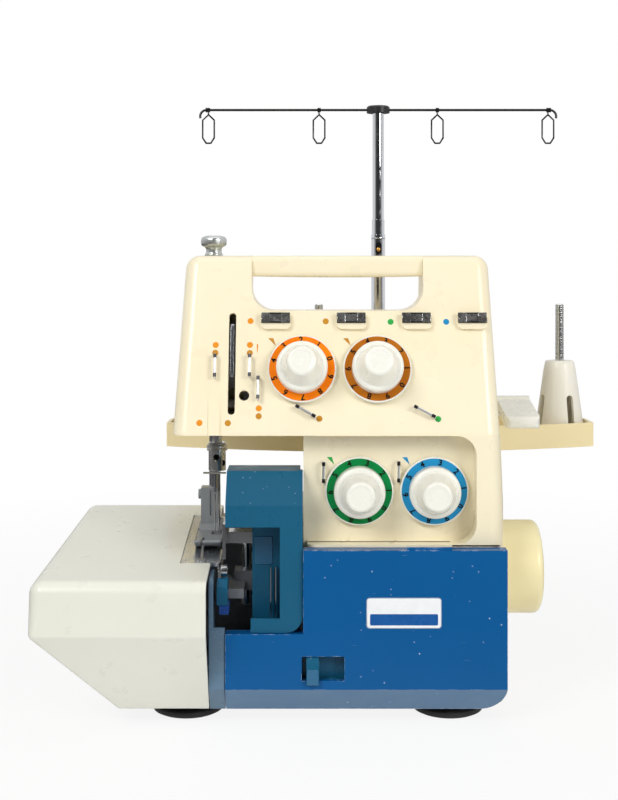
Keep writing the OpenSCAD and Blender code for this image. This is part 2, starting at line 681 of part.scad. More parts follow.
disc_z = -shell_t - 3;
module tension_studs() color(steel) placed() at_dials() {
  translate([0, 0, bracket_z - bracket_t]) cylinder(d = stud_d, h = knob_h - 9 - bracket_z + bracket_t);
  translate([0, 0, bracket_z - bracket_t - 3]) cylinder(d = stud_d + 4, h = 3, $fn = 6);
}
module tension_discs() color(steel) placed() at_dials() difference() {
  translate([0, 0, disc_z]) rotate_extrude() polygon([
    [0, 0], [9, 0], [11.5, 1.1], [11.5, 1.6], [9, 0.6], [9.02, 0.6], [11.5, 1.7],
    [11.5, 2.2], [9, 1.4], [0, 1.4]]);
  translate([0, 0, disc_z - 1]) cylinder(d = stud_d + 0.1, h = 5);
}
spring_turns = 6;
module tension_springs() color(steel) placed() at_dials() difference() {
  pitch = (disc_z - bracket_z - 0.4) / spring_turns;
  translate([0, 0, bracket_z + 0.2]) rotate_extrude() polygon(concat([[0, 0]],
    [for (i = [0:spring_turns - 1]) each [[4.6, i * pitch], [5.4, (i + 0.5) * pitch]]],
    [[4.6, spring_turns * pitch], [0, spring_turns * pitch]]));
  translate([0, 0, bracket_z - 1]) cylinder(d = stud_d + 1, h = disc_z - bracket_z + 3);
}

// Spring clips above the dials: a dark plate on a moulded boss of the front housing.
clip_x = [-16.9, 29.2, 69, column_w - 17.4];
clip_z = body_h - 39;
clip_w = 17;
clip_h = 6;
boss_h = 2.6;
module clip_bosses() for (x = clip_x) on_face(x, clip_z) translate([0, 0, -1])
  linear_extrude(boss_h + 1)
    round_square(-clip_w / 2 - 0.2, clip_w / 2 + 0.8, -clip_h - 0.8, clip_h / 2 - 0.4, 3);
module pretension_clips() color([0.3, 0.3, 0.31]) placed() for (x = clip_x) on_face(x, clip_z) {
  translate([0, 0, boss_h]) linear_extrude(1.1) square([clip_w, clip_h], center = true);
  // Lips that press the thread against the plate.
  for (side = [-1, 1]) translate([side * (clip_w / 2 - 2.4), 0, boss_h + 1.1 - eps])
    linear_extrude(0.8) square([4.8, clip_h], center = true);
}

// Bent wire eyes that lead the threads over the face.
eye_d = 1.8;
eye_h = 3 + eye_d / 2;
module wire_eye(length) {
  for (y = [0, -length]) translate([0, y, 0]) {
    cylinder(d = eye_d, h = eye_h);
    translate([0, 0, eye_h]) sphere(d = eye_d);
  }
  translate([0, 0, eye_h]) rotate([90, 0, 0]) cylinder(d = eye_d, h = length);
}
// Place, length and turn of each eye on the face, and on the panel below.
eyes = [[-53.4, upper_dial_z + 8.2, 13.2, 0], [-32.4, upper_dial_z + 8.2, 12.9, 0],
        [-27.2, upper_dial_z - 4.8, 13, 0], [-4, arm_z + 16.8, 12.5, 60], [66.8, arm_z + 16.5, 13.2, 62]];
low_eyes = [[12.3, lower_dial_z + 17.2, 11.6], [57.7, lower_dial_z + 17.5, 11.6]];
module wire_guides() color("silver") placed() {
  for (e = eyes) on_face(e[0], e[1]) rotate([0, 0, e[3]]) wire_eye(e[2]);
  for (e = low_eyes) on_panel(e[0], e[1]) wire_eye(e[2]);
}

// Cast frame: floor, two side walls that hold the shaft, the arm, and the bed's supports.
floor_x = [-92, column_w - shell_t - 5.5];
floor_y = [26, body_d - 9];
floor_z = foot_h;
floor_t = 6;
wall_w = 8;
walls_x = [shell_t + 0.3, floor_x[1] - wall_w];
beam_y = [needle_y - 10, split_y - 3];
beam_z = [arm_z + 24, body_h - 44];
lifter_y = body_d - 25;
lifter_z = arm_z + 9;
lifter_d = 6;
lug_w = 6;
collar_z = lifter_z + 2;
bearing_d = shaft_d + 6;
pivot_d = 4;
take_up_y = beam_y[0] - 5;
take_up_z = (beam_z[0] + beam_z[1]) / 2;
looper_low = [needle_x + 33.5, work_z - 30.3];
looper_high = [needle_x + 37.5, work_z - 8.3];
looper_d = 8;
knife_rod = [needle_x + 19.5, needle_y - 20];
rail_y = [40, frame_back - 19];
rod_d = 6;
motor_y = body_d - 29;
motor_z = floor_z + floor_t + motor_d / 2 + 2;
module cast_frame() color([0.6, 0.61, 0.63]) placed() difference() {
  union() {
    block(floor_x[0], walls_x[0] + 1, floor_y[0], frame_back - 9, floor_z, floor_z + floor_t);
    block(walls_x[0], floor_x[1], floor_y[0], floor_y[1], floor_z, floor_z + floor_t);
    for (x = walls_x) along_x(x, x + wall_w) {
      round_square(32, 96, floor_z, arm_z + 10, 6);
      translate([floor_y[0], floor_z]) square([floor_y[1] - floor_y[0], floor_t]);
    }
    for (x = walls_x) block(x, x + wall_w, beam_y[0], beam_y[1], arm_z, beam_z[1]);
    along_y(beam_y[0], beam_y[1]) round_square(arm_left + 8, floor_x[1], beam_z[0], beam_z[1], 5);
    // Lugs for the lifter's shaft and the take-up lever's pin.
    for (x = [-40, 60]) along_x(x, x + lug_w) {
      translate([lifter_y, lifter_z]) circle(r = 6);
      polygon([[lifter_y + 6, lifter_z], [lifter_y - 6, lifter_z], [beam_y[1] - 1, lifter_z + 16],
               [beam_y[1] - 1, lifter_z + 28], [lifter_y, lifter_z + 20]]);
    }
    for (x = [slot_x - 5.5, slot_x + 2]) along_x(x, x + 3.5) {
      translate([take_up_y, take_up_z]) circle(r = 4);
      translate([take_up_y, take_up_z - 4]) square([beam_y[0] - take_up_y + 1, 8]);
    }
    // Dial brackets, and the ribs that tie the upper one to the arm.
    on_face(upper_dial_x, upper_dial_z) translate([0, 0, bracket_z - bracket_t]) linear_extrude(bracket_t)
      round_square(-upper_pitch / 2 - 12, upper_pitch / 2 + 12, -12, 12, 4);
    for (x = upper_dials)
      block(x + 8, x + 12, face_y(upper_dial_z) + 18, beam_y[0] + 1, upper_dial_z - 8, upper_dial_z + 6);
    block(walls_x[0], floor_x[1], panel_y - bracket_z, panel_y - bracket_z + bracket_t,
          lower_dial_z - 13, lower_dial_z + 13);
    // Bed: rear block, front post, looper bosses, knife guide and the cloth plate's rails.
    block(steel_x0, walls_x[0], block_y[0], block_y[1], floor_z, 130);
    block(steel_x0, needle_x - 3, 21, 31, floor_z, 130);
    block(knife_rod[0] - 7, walls_x[0] + 1, knife_rod[1] - 7, knife_rod[1] + 7, 72, 84);
    for (y = rail_y) block(floor_x[0], steel_x0 - 2, y, y + 6, floor_z, 130);
    // Lug behind the knife holder.
    block(needle_x + 3.9, knife_rod[0], 22.3, knife_rod[1] - 6, 72, 77.8);
    // Lugs of the looper cover's hinge.
    for (k = knuckles) along_x(k[0] - 7, k[0]) {
      translate([hinge_y, hinge_z]) circle(d = hinge_d + 4);
      translate([hinge_y, hinge_z - 4]) square([floor_y[0] - hinge_y + 1, 6]);
    }
  }
  difference() {
    above_work(-steel_t);
    block(walls_x[0], 300, -50, 300, -50, 400);
    block(-300, 300, -50, 300, arm_z, 400);
  }
  intersection() {
    above_work(-plate_t - 0.35);
    union() {
      block(floor_x[0] - 1, steel_x0 - 1, floor_y[0], block_y[1], 50, arm_z);
      block(floor_x[0] - 1, walls_x[0], steel_y[1] + 0.2, block_y[1] + 1, 50, arm_z);
    }
  }
  // Bearings, bushings, pin holes and stud holes.
  for (x = walls_x) rod_x(x - 1, x + wall_w + 1, shaft_y, shaft_z, bearing_d);
  rod_z(needle_x, needle_y, beam_z[0] - 1, beam_z[1] + 1, needle_bar_d + 2 * run_gap);
  rod_z(presser_x, presser_y, beam_z[0] - 1, beam_z[1] + 1, presser_bar_d + 2 * run_gap);
  rod_z(knife_rod[0], knife_rod[1], 70, 90, rod_d + 2 * run_gap);
  rod_x(-50, 80, lifter_y, lifter_z, lifter_d + 2 * run_gap);
  rod_x(slot_x - 8, slot_x + 8, take_up_y, take_up_z, pivot_d);
  for (p = [looper_low, looper_high])
    rod_y(p[0], block_y[0] - 2, block_y[0] + 12, p[1], looper_d + 2 * run_gap);
  at_dials() translate([0, 0, bracket_z - bracket_t - 1]) cylinder(d = stud_d, h = bracket_t + 2);
  for (k = knuckles) rod_x(k[0] - 8, k[0] + 1, hinge_y, hinge_z, hinge_d);
  for (y = [steel_y[0] + 4.5, steel_y[1] - 8]) on_work()
    translate([steel_x0 + 11, y, -8]) cylinder(d = 3.4, h = 10);
}

// Rubber feet with a soft rim.
module rubber_foot(x, y) translate([x, y, 0]) rotate_extrude() polygon([
  [0, 0], [foot_d / 2 - 3, 0], [foot_d / 2 - 0.6, 1.2], [foot_d / 2, 2.6], [foot_d / 2, foot_rim_h - 1],
  [foot_d / 2 - 1.4, foot_rim_h], [foot_neck_d / 2, foot_rim_h], [foot_neck_d / 2, foot_h], [0, foot_h]]);
module foot_front_left() color([0.1, 0.1, 0.1]) placed() rubber_foot(-foot_left, foot_front_y);
module foot_front_right() color([0.1, 0.1, 0.1]) placed() rubber_foot(column_w - foot_inset, foot_front_y);
module foot_rear_left() color([0.1, 0.1, 0.1]) placed() rubber_foot(-foot_left, foot_rear_y);
module foot_rear_right() color([0.1, 0.1, 0.1]) placed() rubber_foot(column_w - foot_inset, foot_rear_y);

// Sewing head.
clamp_z = tip_z + 39.6;
bar_top_z = beam_z[1] + 8;
module needle_bar() color(steel) placed() {
  rod_z(needle_x, needle_y, clamp_z + 2, bar_top_z, needle_bar_d);
  difference() {
    rod_z(needle_x, needle_y, clamp_z, clamp_z + clamp_h, clamp_d);
    rod_y(needle_x - 0.6, needle_y - clamp_d, needle_y - 2.5, clamp_z + 8.4, 4.4);
  }
  translate([needle_x, needle_y, clamp_z + clamp_h]) rotate_extrude() polygon([
    [0, 0], [6.6, 0], [6.6, 1.1], [6.1, 1.5], [6.6, 1.9], [6.6, 3.4], [6, 4], [0, 4]]);
  // Thread bar under the clamp.
  rod_x(needle_x - 8.5, needle_x + 6, needle_y - clamp_d / 2 - 0.4, clamp_z - 1, 1.2);
  block(needle_x - 2, needle_x + 2, needle_y - clamp_d / 2 - 0.6, needle_y - 2.2, clamp_z - 2, clamp_z + eps);
}
module needles() color(steel) placed() for (side = [-1, 1])
  translate([needle_x + side * 1.1, needle_y + side * 0.8, 0]) {
    translate([0, 0, tip_z + 4]) cylinder(d = 0.9, h = clamp_z - tip_z - 16);
    translate([0, 0, clamp_z - 14]) cylinder(d = 1.8, h = 14);
    translate([0, 0, tip_z]) cylinder(d1 = 0.2, d2 = 0.9, h = 4 + eps);
  }
// The take-up lever's plate: its front edge runs inside the slot.
lever_z = [take_up_z - slot_half / 4, take_up_z + slot_half * 0.63];
module take_up_lever() color(steel) placed() difference() {
  along_x(slot_x - 1, slot_x + 1) difference() {
    union() {
      translate([take_up_y, take_up_z]) circle(r = 4);
      polygon([[take_up_y, take_up_z - 4], [take_up_y, take_up_z + 4],
               [face_y(lever_z[1]) + 4, lever_z[1] - 3], [face_y(lever_z[1]) + 1, lever_z[1] + 2],
               [face_y(lever_z[1]) - 0.6, lever_z[1]], [face_y(lever_z[0]) - 0.6, lever_z[0]],
               [face_y(lever_z[0]), lever_z[0] - 2], [face_y(lever_z[0]) + 4, lever_z[0]],
               [face_y(lever_z[0]) + 7.2, take_up_z - 1]]);
    }
    translate([face_y(take_up_z + 6) + 3, take_up_z + 6]) circle(d = 1.8);
  }
  rod_x(slot_x - 3, slot_x + 3, take_up_y, take_up_z, pivot_d + 2 * run_gap);
}
screw_d = 8;
// Mushroom knob of the presser's pressure screw.
module pressure_screw() color("silver") placed() translate([presser_x, presser_y, body_h])
  rotate_extrude() polygon([
    [0, -13], [screw_d / 2, -13], [screw_d / 2, 0.3], [5.8, 0.3], [5.8, 1.3], [5.1, 2.5], [5.1, 4.6],
    [5.7, 5.8], [7.6, 6.7], [8.3, 7.6], [8.4, 9], [8.4, 10.4], [8, 11.8], [6.9, 12.7], [4.5, 13.3],
    [0, 13.4]]);
module presser_bar() color(steel) placed() {
  rod_z(presser_x, presser_y, 118, body_h - 22, presser_bar_d);
  rod_z(presser_x, presser_y, collar_z, collar_z + 4, 12);
}
sole_y = [needle_y - 26, needle_y + 26];
holder_x0 = presser_x - 8;
module presser_foot() color([0.5, 0.52, 0.55]) placed() {
  difference() {
    block(holder_x0, presser_x + 4, presser_y - 5, presser_y + 5, 107, 130);
    rod_z(presser_x, presser_y, 117, 140, presser_bar_d);
    block(presser_x - 2.2, presser_x + 5, presser_y - 6, presser_y - 4, 112, 128);
  }
  rod_x(holder_x0 - 1.8, holder_x0 + eps, presser_y - 1, 125.4, 6.4);
  rod_x(presser_x - 6, presser_x + 6, presser_y - 2, work_height(presser_y) + 6.5, 5);
  on_work() difference() {
    translate([0, 0, 0.3]) along_x(needle_x - 12, needle_x + 3.8) polygon([
      [sole_y[0] - 5, 6], [sole_y[0] - 4, 4.6], [sole_y[0] + 4, 0], [sole_y[1], 0],
      [sole_y[1], 2.4], [presser_y + 3, 2.4], [presser_y + 1, 6], [presser_y - 5, 6],
      [presser_y - 7, 2.4], [sole_y[0] + 5, 2.4], [sole_y[0] - 4, 7]]);
    block(needle_x - 3.4, needle_x + 3.2, needle_y - 4, needle_y + 3.5, -2, 12);
    block(needle_x - 8.6, needle_x - 7, sole_y[0] - 9, needle_y - 10, -2, 12);
  }
}
paddle_x = column_w + 9;
paddle_w = 22;
lever_lean = 10.3;
module presser_lifter() color("white") placed() {
  rod_x(presser_x - 4, column_w + 3, lifter_y, lifter_z, lifter_d);
  rod_x(column_w + 0.8, paddle_x + paddle_w - 3, lifter_y, lifter_z, 11);
  translate([0, lifter_y, lifter_z]) rotate([lever_lean, 0, 0]) intersection() {
    along_x(paddle_x, paddle_x + paddle_w) {
      translate([-42, -4]) square([42, 8]);
      circle(r = 5.5);
      translate([-42, 0]) circle(r = 4);
    }
    translate([0, 0, -10]) linear_extrude(20) round_square(paddle_x, paddle_x + paddle_w, -46, 20, 5);
  }
  // Inner arm that raises the presser bar's collar.
  block(presser_x - 4, presser_x + 4, presser_y + 3.5, lifter_y, collar_z - 5.3, collar_z - 0.3);
  rod_x(presser_x - 4, presser_x + 4, lifter_y, lifter_z, 11);
}

// Loopers and knives.
module blade(points, width) {
  for (i = [0:len(points) - 2]) hull() for (p = [points[i], points[i + 1]])
    translate(p) circle(d = width, $fn = 16);
}
// A looper: a bent blade on a hub and a shaft, in the plane y.
module looper(at, y, bends) {
  along_y(y, y + 3) blade([at, for (b = bends) at + b], 3.4);
  along_y(y - 1, y + 4) translate(at) circle(d = 15);
  rod_y(at[0], y - 4, block_y[0] + 11, at[1], looper_d);
}
module upper_looper() color(steel) placed()
  looper(looper_high, needle_y + 4, [[-16, 7], [-24, 13], [-29, 22]]);
module lower_looper() color(steel) placed()
  looper(looper_low, needle_y - 8, [[-18, 6], [-28, 16], [-34, 24]]);

// Knives: the upper one slides on its rod, and the lower one is clamped in its holder.
knife_x = needle_x + 4.2;
module upper_knife() color(steel) placed() {
  y = knife_rod[1];
  along_x(knife_x + 2.4, knife_x + 4.4) polygon([
    [y - 29, work_z + 3.7], [y - 10, work_z + 8.7], [y + 8, work_z + 8.7], [y + 8, work_z + 15.7],
    [y - 10, work_z + 24.7], [y - 29, work_z + 24.7]]);
  block(knife_x + 4.3, knife_rod[0] + 5, y - 6, y + 6, work_z + 8.7, work_z + 15.7);
  rod_z(knife_rod[0], y, 62, work_z + 12.7, rod_d);
}
module knife_holder() color(teal) placed() difference() {
  along_x(knife_x - 0.3, knife_x + 6.1) polygon([[9, 71], [22, 71], [22, 86], [14, 86], [9, 82]]);
  block(knife_x, knife_x + 2.3, 14.5, 23, 78, 88);
}
module lower_knife() color(steel) placed() {
  along_x(knife_x, knife_x + 2)
    polygon([[14.6, 78.2], [21.9, 78.2], [36, 90], [36, 93.5], [18, 92], [14.6, 90]]);
  rod_x(knife_x + 2, knife_x + 5.6, 18.4, 90, 6.6);
}
module knife_knob() color([0.05, 0.3, 0.7]) placed() difference() {
  block(knife_x + 1.3, knife_x + 6.9, 8, 22, 66, 71);
  for (i = [0:3]) block(knife_x, knife_x + 8, 7, 8.6, 66.6 + 1.2 * i, 67.2 + 1.2 * i);
}

// Drive.
wheel_x = column_w + wheel_gap;
module main_shaft() color(steel) placed() {
  rod_x(walls_x[0] - 9, wheel_x + wheel_w - 12, shaft_y, shaft_z, shaft_d);
  // Pulley with a groove for the belt.
  translate([pulley_x, shaft_y, shaft_z]) rotate([0, 90, 0]) rotate_extrude() polygon([
    [0, 0], [26, 0], [26, 1.5], [23.5, 3], [23.5, 7], [26, 8.5], [26, 10], [0, 10]]);
}
pulley_x = walls_x[1] - 16;
belt_r = [23.6, 25.4];
motor_r = [6.1, 7.9];
module handwheel() color(butter) placed() difference() {
  translate([wheel_x, shaft_y, shaft_z]) rotate([0, 90, 0]) rotate_extrude() polygon(concat(
    [[0, 0], [12, 0], [12, 2.5], [wheel_d / 2 - 3.5, 2.5], [wheel_d / 2 - 3.5, 0], [wheel_d / 2 - 0.8, 0],
     [wheel_d / 2, 0.8]],
    [for (a = [0:15:90]) [wheel_d / 2 - 4.5 + 4.5 * cos(a), wheel_w - 4.5 + 4.5 * sin(a)]],
    [[wheel_d / 2 - 7, wheel_w], [wheel_d / 2 - 10, wheel_w - 2], [0, wheel_w - 2]]));
  rod_x(wheel_x - 1, wheel_x + wheel_w - 12, shaft_y, shaft_z, shaft_d);
  translate([wheel_x + 2.5 - eps, shaft_y, shaft_z]) rotate([0, 90, 0]) difference() {
    cylinder(d = wheel_d - 7, h = wheel_w - 8);
    translate([0, 0, -1]) cylinder(d = 24, h = wheel_w);
    for (a = [0:60:300]) rotate(a) translate([10, -1.2, -1]) cube([wheel_d, 2.4, wheel_w]);
  }
}
module shaft_bearings() color([0.75, 0.6, 0.3]) placed() for (x = walls_x) difference() {
  rod_x(x, x + wall_w, shaft_y, shaft_z, bearing_d);
  rod_x(x - 1, x + wall_w + 1, shaft_y, shaft_z, shaft_d + 2 * run_gap);
}
// Convex loop of the belt round both pulleys: two arcs joined by their tangents.
function arc(x, y, r, a0, a1, n) =
  [for (i = [0:n]) let (a = a0 + (a1 - a0) * i / n) [x + r * cos(a), y + r * sin(a)]];
module belt_outline(i) {
  dy = motor_y - shaft_y;
  dz = motor_z - shaft_z;
  span = norm([dy, dz]);
  lean = acos((belt_r[i] - motor_r[i]) / span);
  translate([shaft_y, shaft_z]) rotate(atan2(dz, dy)) polygon(concat(
    arc(0, 0, belt_r[i], lean, 360 - lean, 40), arc(span, 0, motor_r[i], -lean, lean, 16)));
}
module drive_belt() color([0.12, 0.12, 0.12]) placed() along_x(pulley_x + 3.3, pulley_x + 6.7) difference() {
  belt_outline(1);
  belt_outline(0);
}
motor_x1 = pulley_x - 6;
module motor() color([0.35, 0.36, 0.38]) placed() difference() {
  union() {
    rod_x(motor_x1 - motor_l, motor_x1, motor_y, motor_z, motor_d);
    rod_x(motor_x1 - eps, motor_x1 + 4, motor_y, motor_z, 16);
    block(motor_x1 - motor_l + 6, motor_x1 - 6, motor_y - 14, motor_y + 14, floor_z + floor_t, motor_z);
  }
  rod_x(motor_x1 - 12, motor_x1 + 5, motor_y, motor_z, motor_shaft_d + 2 * run_gap);
}
motor_shaft_d = 5;
module motor_pulley() color(steel) placed() {
  rod_x(motor_x1 - 11.5, pulley_x, motor_y, motor_z, motor_shaft_d);
  translate([pulley_x, motor_y, motor_z]) rotate([0, 90, 0]) rotate_extrude() polygon([
    [0, -1.4], [8.4, -1.4], [8.4, 2.4], [6, 3.2], [6, 6.8], [8.4, 7.6], [8.4, 9], [0, 9]]);
}
inlet_mid = (split_y + body_d) / 2 - 1;
inlet_y = [inlet_mid - 10, inlet_mid + 10];
inlet_z = [floor_z + 20, floor_z + 34];
switch_y = inlet_y;
switch_z = [inlet_z[1] + 8, inlet_z[1] + 20];
module power_inlet() color([0.12, 0.12, 0.12]) placed() difference() {
  block(column_w - shell_t - 8, column_w + 0.6, inlet_y[0] + 0.1, inlet_y[1] - 0.1,
        inlet_z[0] + 0.1, inlet_z[1] - 0.1);
  block(column_w - 7, column_w + 2, inlet_y[0] + 3, inlet_y[1] - 3, inlet_z[0] + 3, inlet_z[1] - 3);
}
// Rocker that tips about an upright pin; at rest its rear half stands proud.
rocker_x = column_w - 3;
module power_switch() color([0.12, 0.12, 0.12]) placed()
  translate([rocker_x, (switch_y[0] + switch_y[1]) / 2, switch_z[0] + 0.3]) rotate([0, 0, -8])
    linear_extrude(switch_z[1] - switch_z[0] - 0.6) intersection() {
      circle(r = (switch_y[1] - switch_y[0]) / 2 - 0.3);
      polygon([[-5, -12], [4.6, -12], [2.6, 0], [4.6, 12], [-5, 12]]);
    }

// Thread stand.
module tray_outline(inset) intersection() {
  round_square(tray_x - tray_w / 2 + inset, tray_x + tray_w / 2 - inset,
               tray_y0 + inset, tray_y1 - inset, tray_r - inset);
  translate([tray_x, tray_y0 + tray_bow_r]) circle(r = tray_bow_r - inset, $fn = 200);
}
pin_y = tray_y0 + 41;
mast_y = tray_y1 - 23;
// The end pins stand back where the bowed rim comes near their cones.
bow_inner = tray_bow_r - tray_t - cone_d / 2 - 2 * cone_clear;
function pin_row(dx) = max(pin_y, tray_y0 + tray_bow_r - sqrt(pow(bow_inner, 2) - pow(dx, 2)));
pin_places = [for (i = [-1.5:1:1.5]) [tray_x + i * pin_pitch, pin_row(i * pin_pitch)]];
tray_floor = tray_z + tray_t;
pin_boss_d = pin_root_d + 5;
pin_fit = 0.4;
module spool_tray() color(butter) placed() difference() {
  union() {
    translate([0, 0, tray_z]) linear_extrude(tray_h) difference() {
      tray_outline(0);
      tray_outline(tray_t);
    }
    translate([0, 0, tray_z]) linear_extrude(tray_t) tray_outline(0);
    for (p = pin_places) rod_z(p[0], p[1], tray_floor - eps, tray_floor + 6, pin_boss_d);
    rod_z(tray_x, mast_y, tray_z - 4, tray_floor + 14, mast_d + 8);
    // Foot that screws to the rear housing.
    block(tray_x - 40, tray_x + 40, body_d + 0.15, tray_y0 + 10, tray_z + 1, tray_z + 14);
  }
  for (p = pin_places) rod_z(p[0], p[1], tray_floor, tray_floor + 10, pin_root_d);
  rod_z(tray_x, mast_y, tray_z, tray_floor + 20, mast_d);
}
module spool_pins() color(steel) placed() for (p = pin_places) {
  rod_z(p[0], p[1], tray_floor, tray_floor + cone_h + 0.5, pin_root_d);
  rod_z(p[0], p[1], tray_floor + cone_h, pin_z - 0.8, pin_d);
  translate([p[0], p[1], pin_z - 0.8 - eps]) cylinder(d1 = pin_d, d2 = pin_d - 1.6, h = 0.8);
}
module cone_holders() color([0.93, 0.92, 0.88]) placed() for (p = pin_places)
  translate([p[0], p[1], tray_floor]) difference() {
  union() {
    difference() {
      cylinder(d1 = cone_d, d2 = cone_top_d, h = cone_h);
      translate([0, 0, -eps]) cylinder(d1 = cone_d - 5, d2 = cone_top_d - 5, h = cone_h - 4);
    }
    cylinder(d = pin_root_d + 3.6, h = cone_h - 2);
  }
  translate([0, 0, -1]) cylinder(d = pin_root_d + pin_fit, h = cone_h + 2);
  translate([0, 0, -1]) cylinder(d = pin_boss_d + pin_fit, h = 7.4);
  translate([0, 0, cone_h - 3]) cylinder(d = cone_top_d - 7, h = 4);
  for (a = [0:90:270]) rotate(a + 20) translate([cone_d / 2 - 10, -2.6, -1]) {
    cube([20, 5.2, 32]);
    translate([0, 2.6, 32]) rotate([0, 90, 0]) cylinder(d = 5.2, h = 20);
  }
}
middle_d = mast_d - 2 * tube_t - 2 * run_gap;
upper_d = middle_d - 2 * tube_t - 2 * run_gap;
module tube(z0, z1, d) translate([tray_x, mast_y, z0]) difference() {
  cylinder(d = d, h = z1 - z0);
  translate([0, 0, -1]) cylinder(d = d - 2 * tube_t, h = z1 - z0 + 2);
}
module mast_lower() color("silver") placed() tube(tray_z, lower_tube_z, mast_d);
module mast_middle() color("silver") placed() tube(lower_tube_z - 90, middle_tube_z, middle_d);
module mast_upper() color("silver") placed() tube(middle_tube_z - 16, mast_z - 4.5, upper_d);
hub_z = mast_z - 5;
wire_z = mast_z - 2.8;
cap_l = 0.8;
module mast_guide() color([0.08, 0.08, 0.08]) placed() translate([tray_x, mast_y, 0]) {
  translate([0, 0, hub_z]) rotate_extrude() polygon([
    [0, 0.5], [upper_d / 2, 0.5], [upper_d / 2, 0], [8.5, 0], [8.5, 4], [7.5, 5], [0, 5]]);
  translate([0, 0, hub_z - 8]) cylinder(d = upper_d - 2 * tube_t, h = 9);
  translate([-cross_l / 2, 0, wire_z]) rotate([0, 90, 0]) cylinder(d = wire_d, h = cross_l);
  // Caps that keep the end loops on the wire.
  for (s = [-1, 1]) translate([s * (cross_l / 2 - cap_l / 2), 0, wire_z]) rotate([0, 90, 0])
    cylinder(d = wire_d + 1.6, h = cap_l, center = true);
}
loop_places = [for (s = [-1, 1], i = [0, 1]) tray_x + s * (loop_inner / 2 + i * loop_outer)];
module wire_run(points, d) for (i = [0:len(points) - 2])
  hull() for (p = [points[i], points[i + 1]]) translate(p) sphere(d = d, $fn = 8);
module loop_wire() {
  // Six-sided loop that hangs from its collar by a short neck.
  w = (loop_w - loop_wire_d) / 2;
  half = [[0, 0, 1.8], [0, 0, 0], [w, 0, -4], [w, 0, 4 - loop_h], [w * 0.4, 0, -loop_h], [0, 0, -loop_h]];
  wire_run(half, loop_wire_d);
  mirror([1, 0, 0]) wire_run(half, loop_wire_d);
}
module guide_loops() color("silver") placed() for (x = loop_places) translate([x, mast_y, wire_z]) {
  difference() {
    rotate([0, 90, 0]) cylinder(d = wire_d + 1.6, h = 2.4, center = true, $fn = 16);
    rotate([0, 90, 0]) cylinder(d = wire_d + 0.1, h = 8, center = true, $fn = 16);
  }
  translate([0, 0, -3.4]) loop_wire();
}

cast_frame();
foot_front_left();
foot_front_right();
foot_rear_left();
foot_rear_right();
front_housing();
rear_housing();
carry_handle();
bed_cover();
looper_cover();
tab_tray();
stitch_tab();
needle_cover();
side_plate();
cloth_plate();
needle_plate();
feed_dog();
dial_left_needle();
dial_right_needle();
dial_upper_looper();
dial_lower_looper();
band_left_needle();
band_right_needle();
band_upper_looper();
band_lower_looper();
tension_studs();
tension_discs();
tension_springs();
pretension_clips();
wire_guides();
take_up_lever();
pressure_screw();
presser_bar();
presser_foot();
presser_lifter();
needle_bar();
needles();
upper_looper();
lower_looper();
upper_knife();
lower_knife();
knife_holder();
knife_knob();
handwheel();
main_shaft();
shaft_bearings();
drive_belt();
motor();
motor_pulley();
power_inlet();
power_switch();
hinge_pins();
spool_tray();
spool_pins();
cone_holders();
mast_lower();
mast_middle();
mast_upper();
mast_guide();
guide_loops();
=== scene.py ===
"""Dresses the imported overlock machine: finishes, printed marks, small hardware and a plain studio."""

import json
import logging
import math
from dataclasses import dataclass
from enum import Enum
from typing import ClassVar

import bmesh
import bpy
from mathutils import Matrix, Vector

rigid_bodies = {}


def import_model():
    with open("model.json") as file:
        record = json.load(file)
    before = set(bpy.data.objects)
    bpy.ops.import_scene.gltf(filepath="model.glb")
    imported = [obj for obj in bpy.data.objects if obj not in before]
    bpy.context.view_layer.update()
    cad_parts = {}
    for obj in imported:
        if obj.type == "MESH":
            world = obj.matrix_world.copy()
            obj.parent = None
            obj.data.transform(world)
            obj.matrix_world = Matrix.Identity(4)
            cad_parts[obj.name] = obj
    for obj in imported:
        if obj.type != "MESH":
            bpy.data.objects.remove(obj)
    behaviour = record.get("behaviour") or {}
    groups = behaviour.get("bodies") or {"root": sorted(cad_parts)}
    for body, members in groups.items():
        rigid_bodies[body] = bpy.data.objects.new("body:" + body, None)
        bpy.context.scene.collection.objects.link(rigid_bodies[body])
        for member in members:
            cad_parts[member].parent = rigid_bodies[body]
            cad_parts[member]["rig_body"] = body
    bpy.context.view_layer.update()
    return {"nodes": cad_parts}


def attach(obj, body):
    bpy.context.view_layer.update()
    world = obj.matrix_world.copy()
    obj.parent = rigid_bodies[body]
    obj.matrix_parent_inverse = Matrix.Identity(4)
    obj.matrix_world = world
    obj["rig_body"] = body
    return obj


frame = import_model()

LOG = logging.getLogger("overlock")
MM = 0.001
MACHINE_X = 24.175
MACHINE_Y = 98.5
FACE_LEAN = math.radians(16.5)
FACE_FOOT = 10.0
ARM_UNDERSIDE = 172.0
PANEL_Y = 24.0
RIGHT = Vector((1, 0, 0))
UP = Vector((0, 0, 1))
FORWARD = Vector((0, -1, 0))
FACE_OUT = Vector((0, -math.cos(FACE_LEAN), math.sin(FACE_LEAN)))
ANY_SIDE = Vector((0.31, 0.17, 0.93))

Colour = tuple[float, float, float]
Point = tuple[float, float, float]
Outline = list[tuple[float, float]]
Size = tuple[float, float]
Places = tuple[tuple[float, float], ...]


def spot(x: float, y: float, z: float) -> Vector:
    """A point of the machine's own layout, in mm, as metres of the shared frame.

    Args:
        x: Distance to the right of the column's left side.
        y: Distance behind the looper cover's face.
        z: Height above the table.

    Returns:
        The same point in the shared frame.
    """
    return Vector(((x - MACHINE_X) * MM, (y - MACHINE_Y) * MM, z * MM))


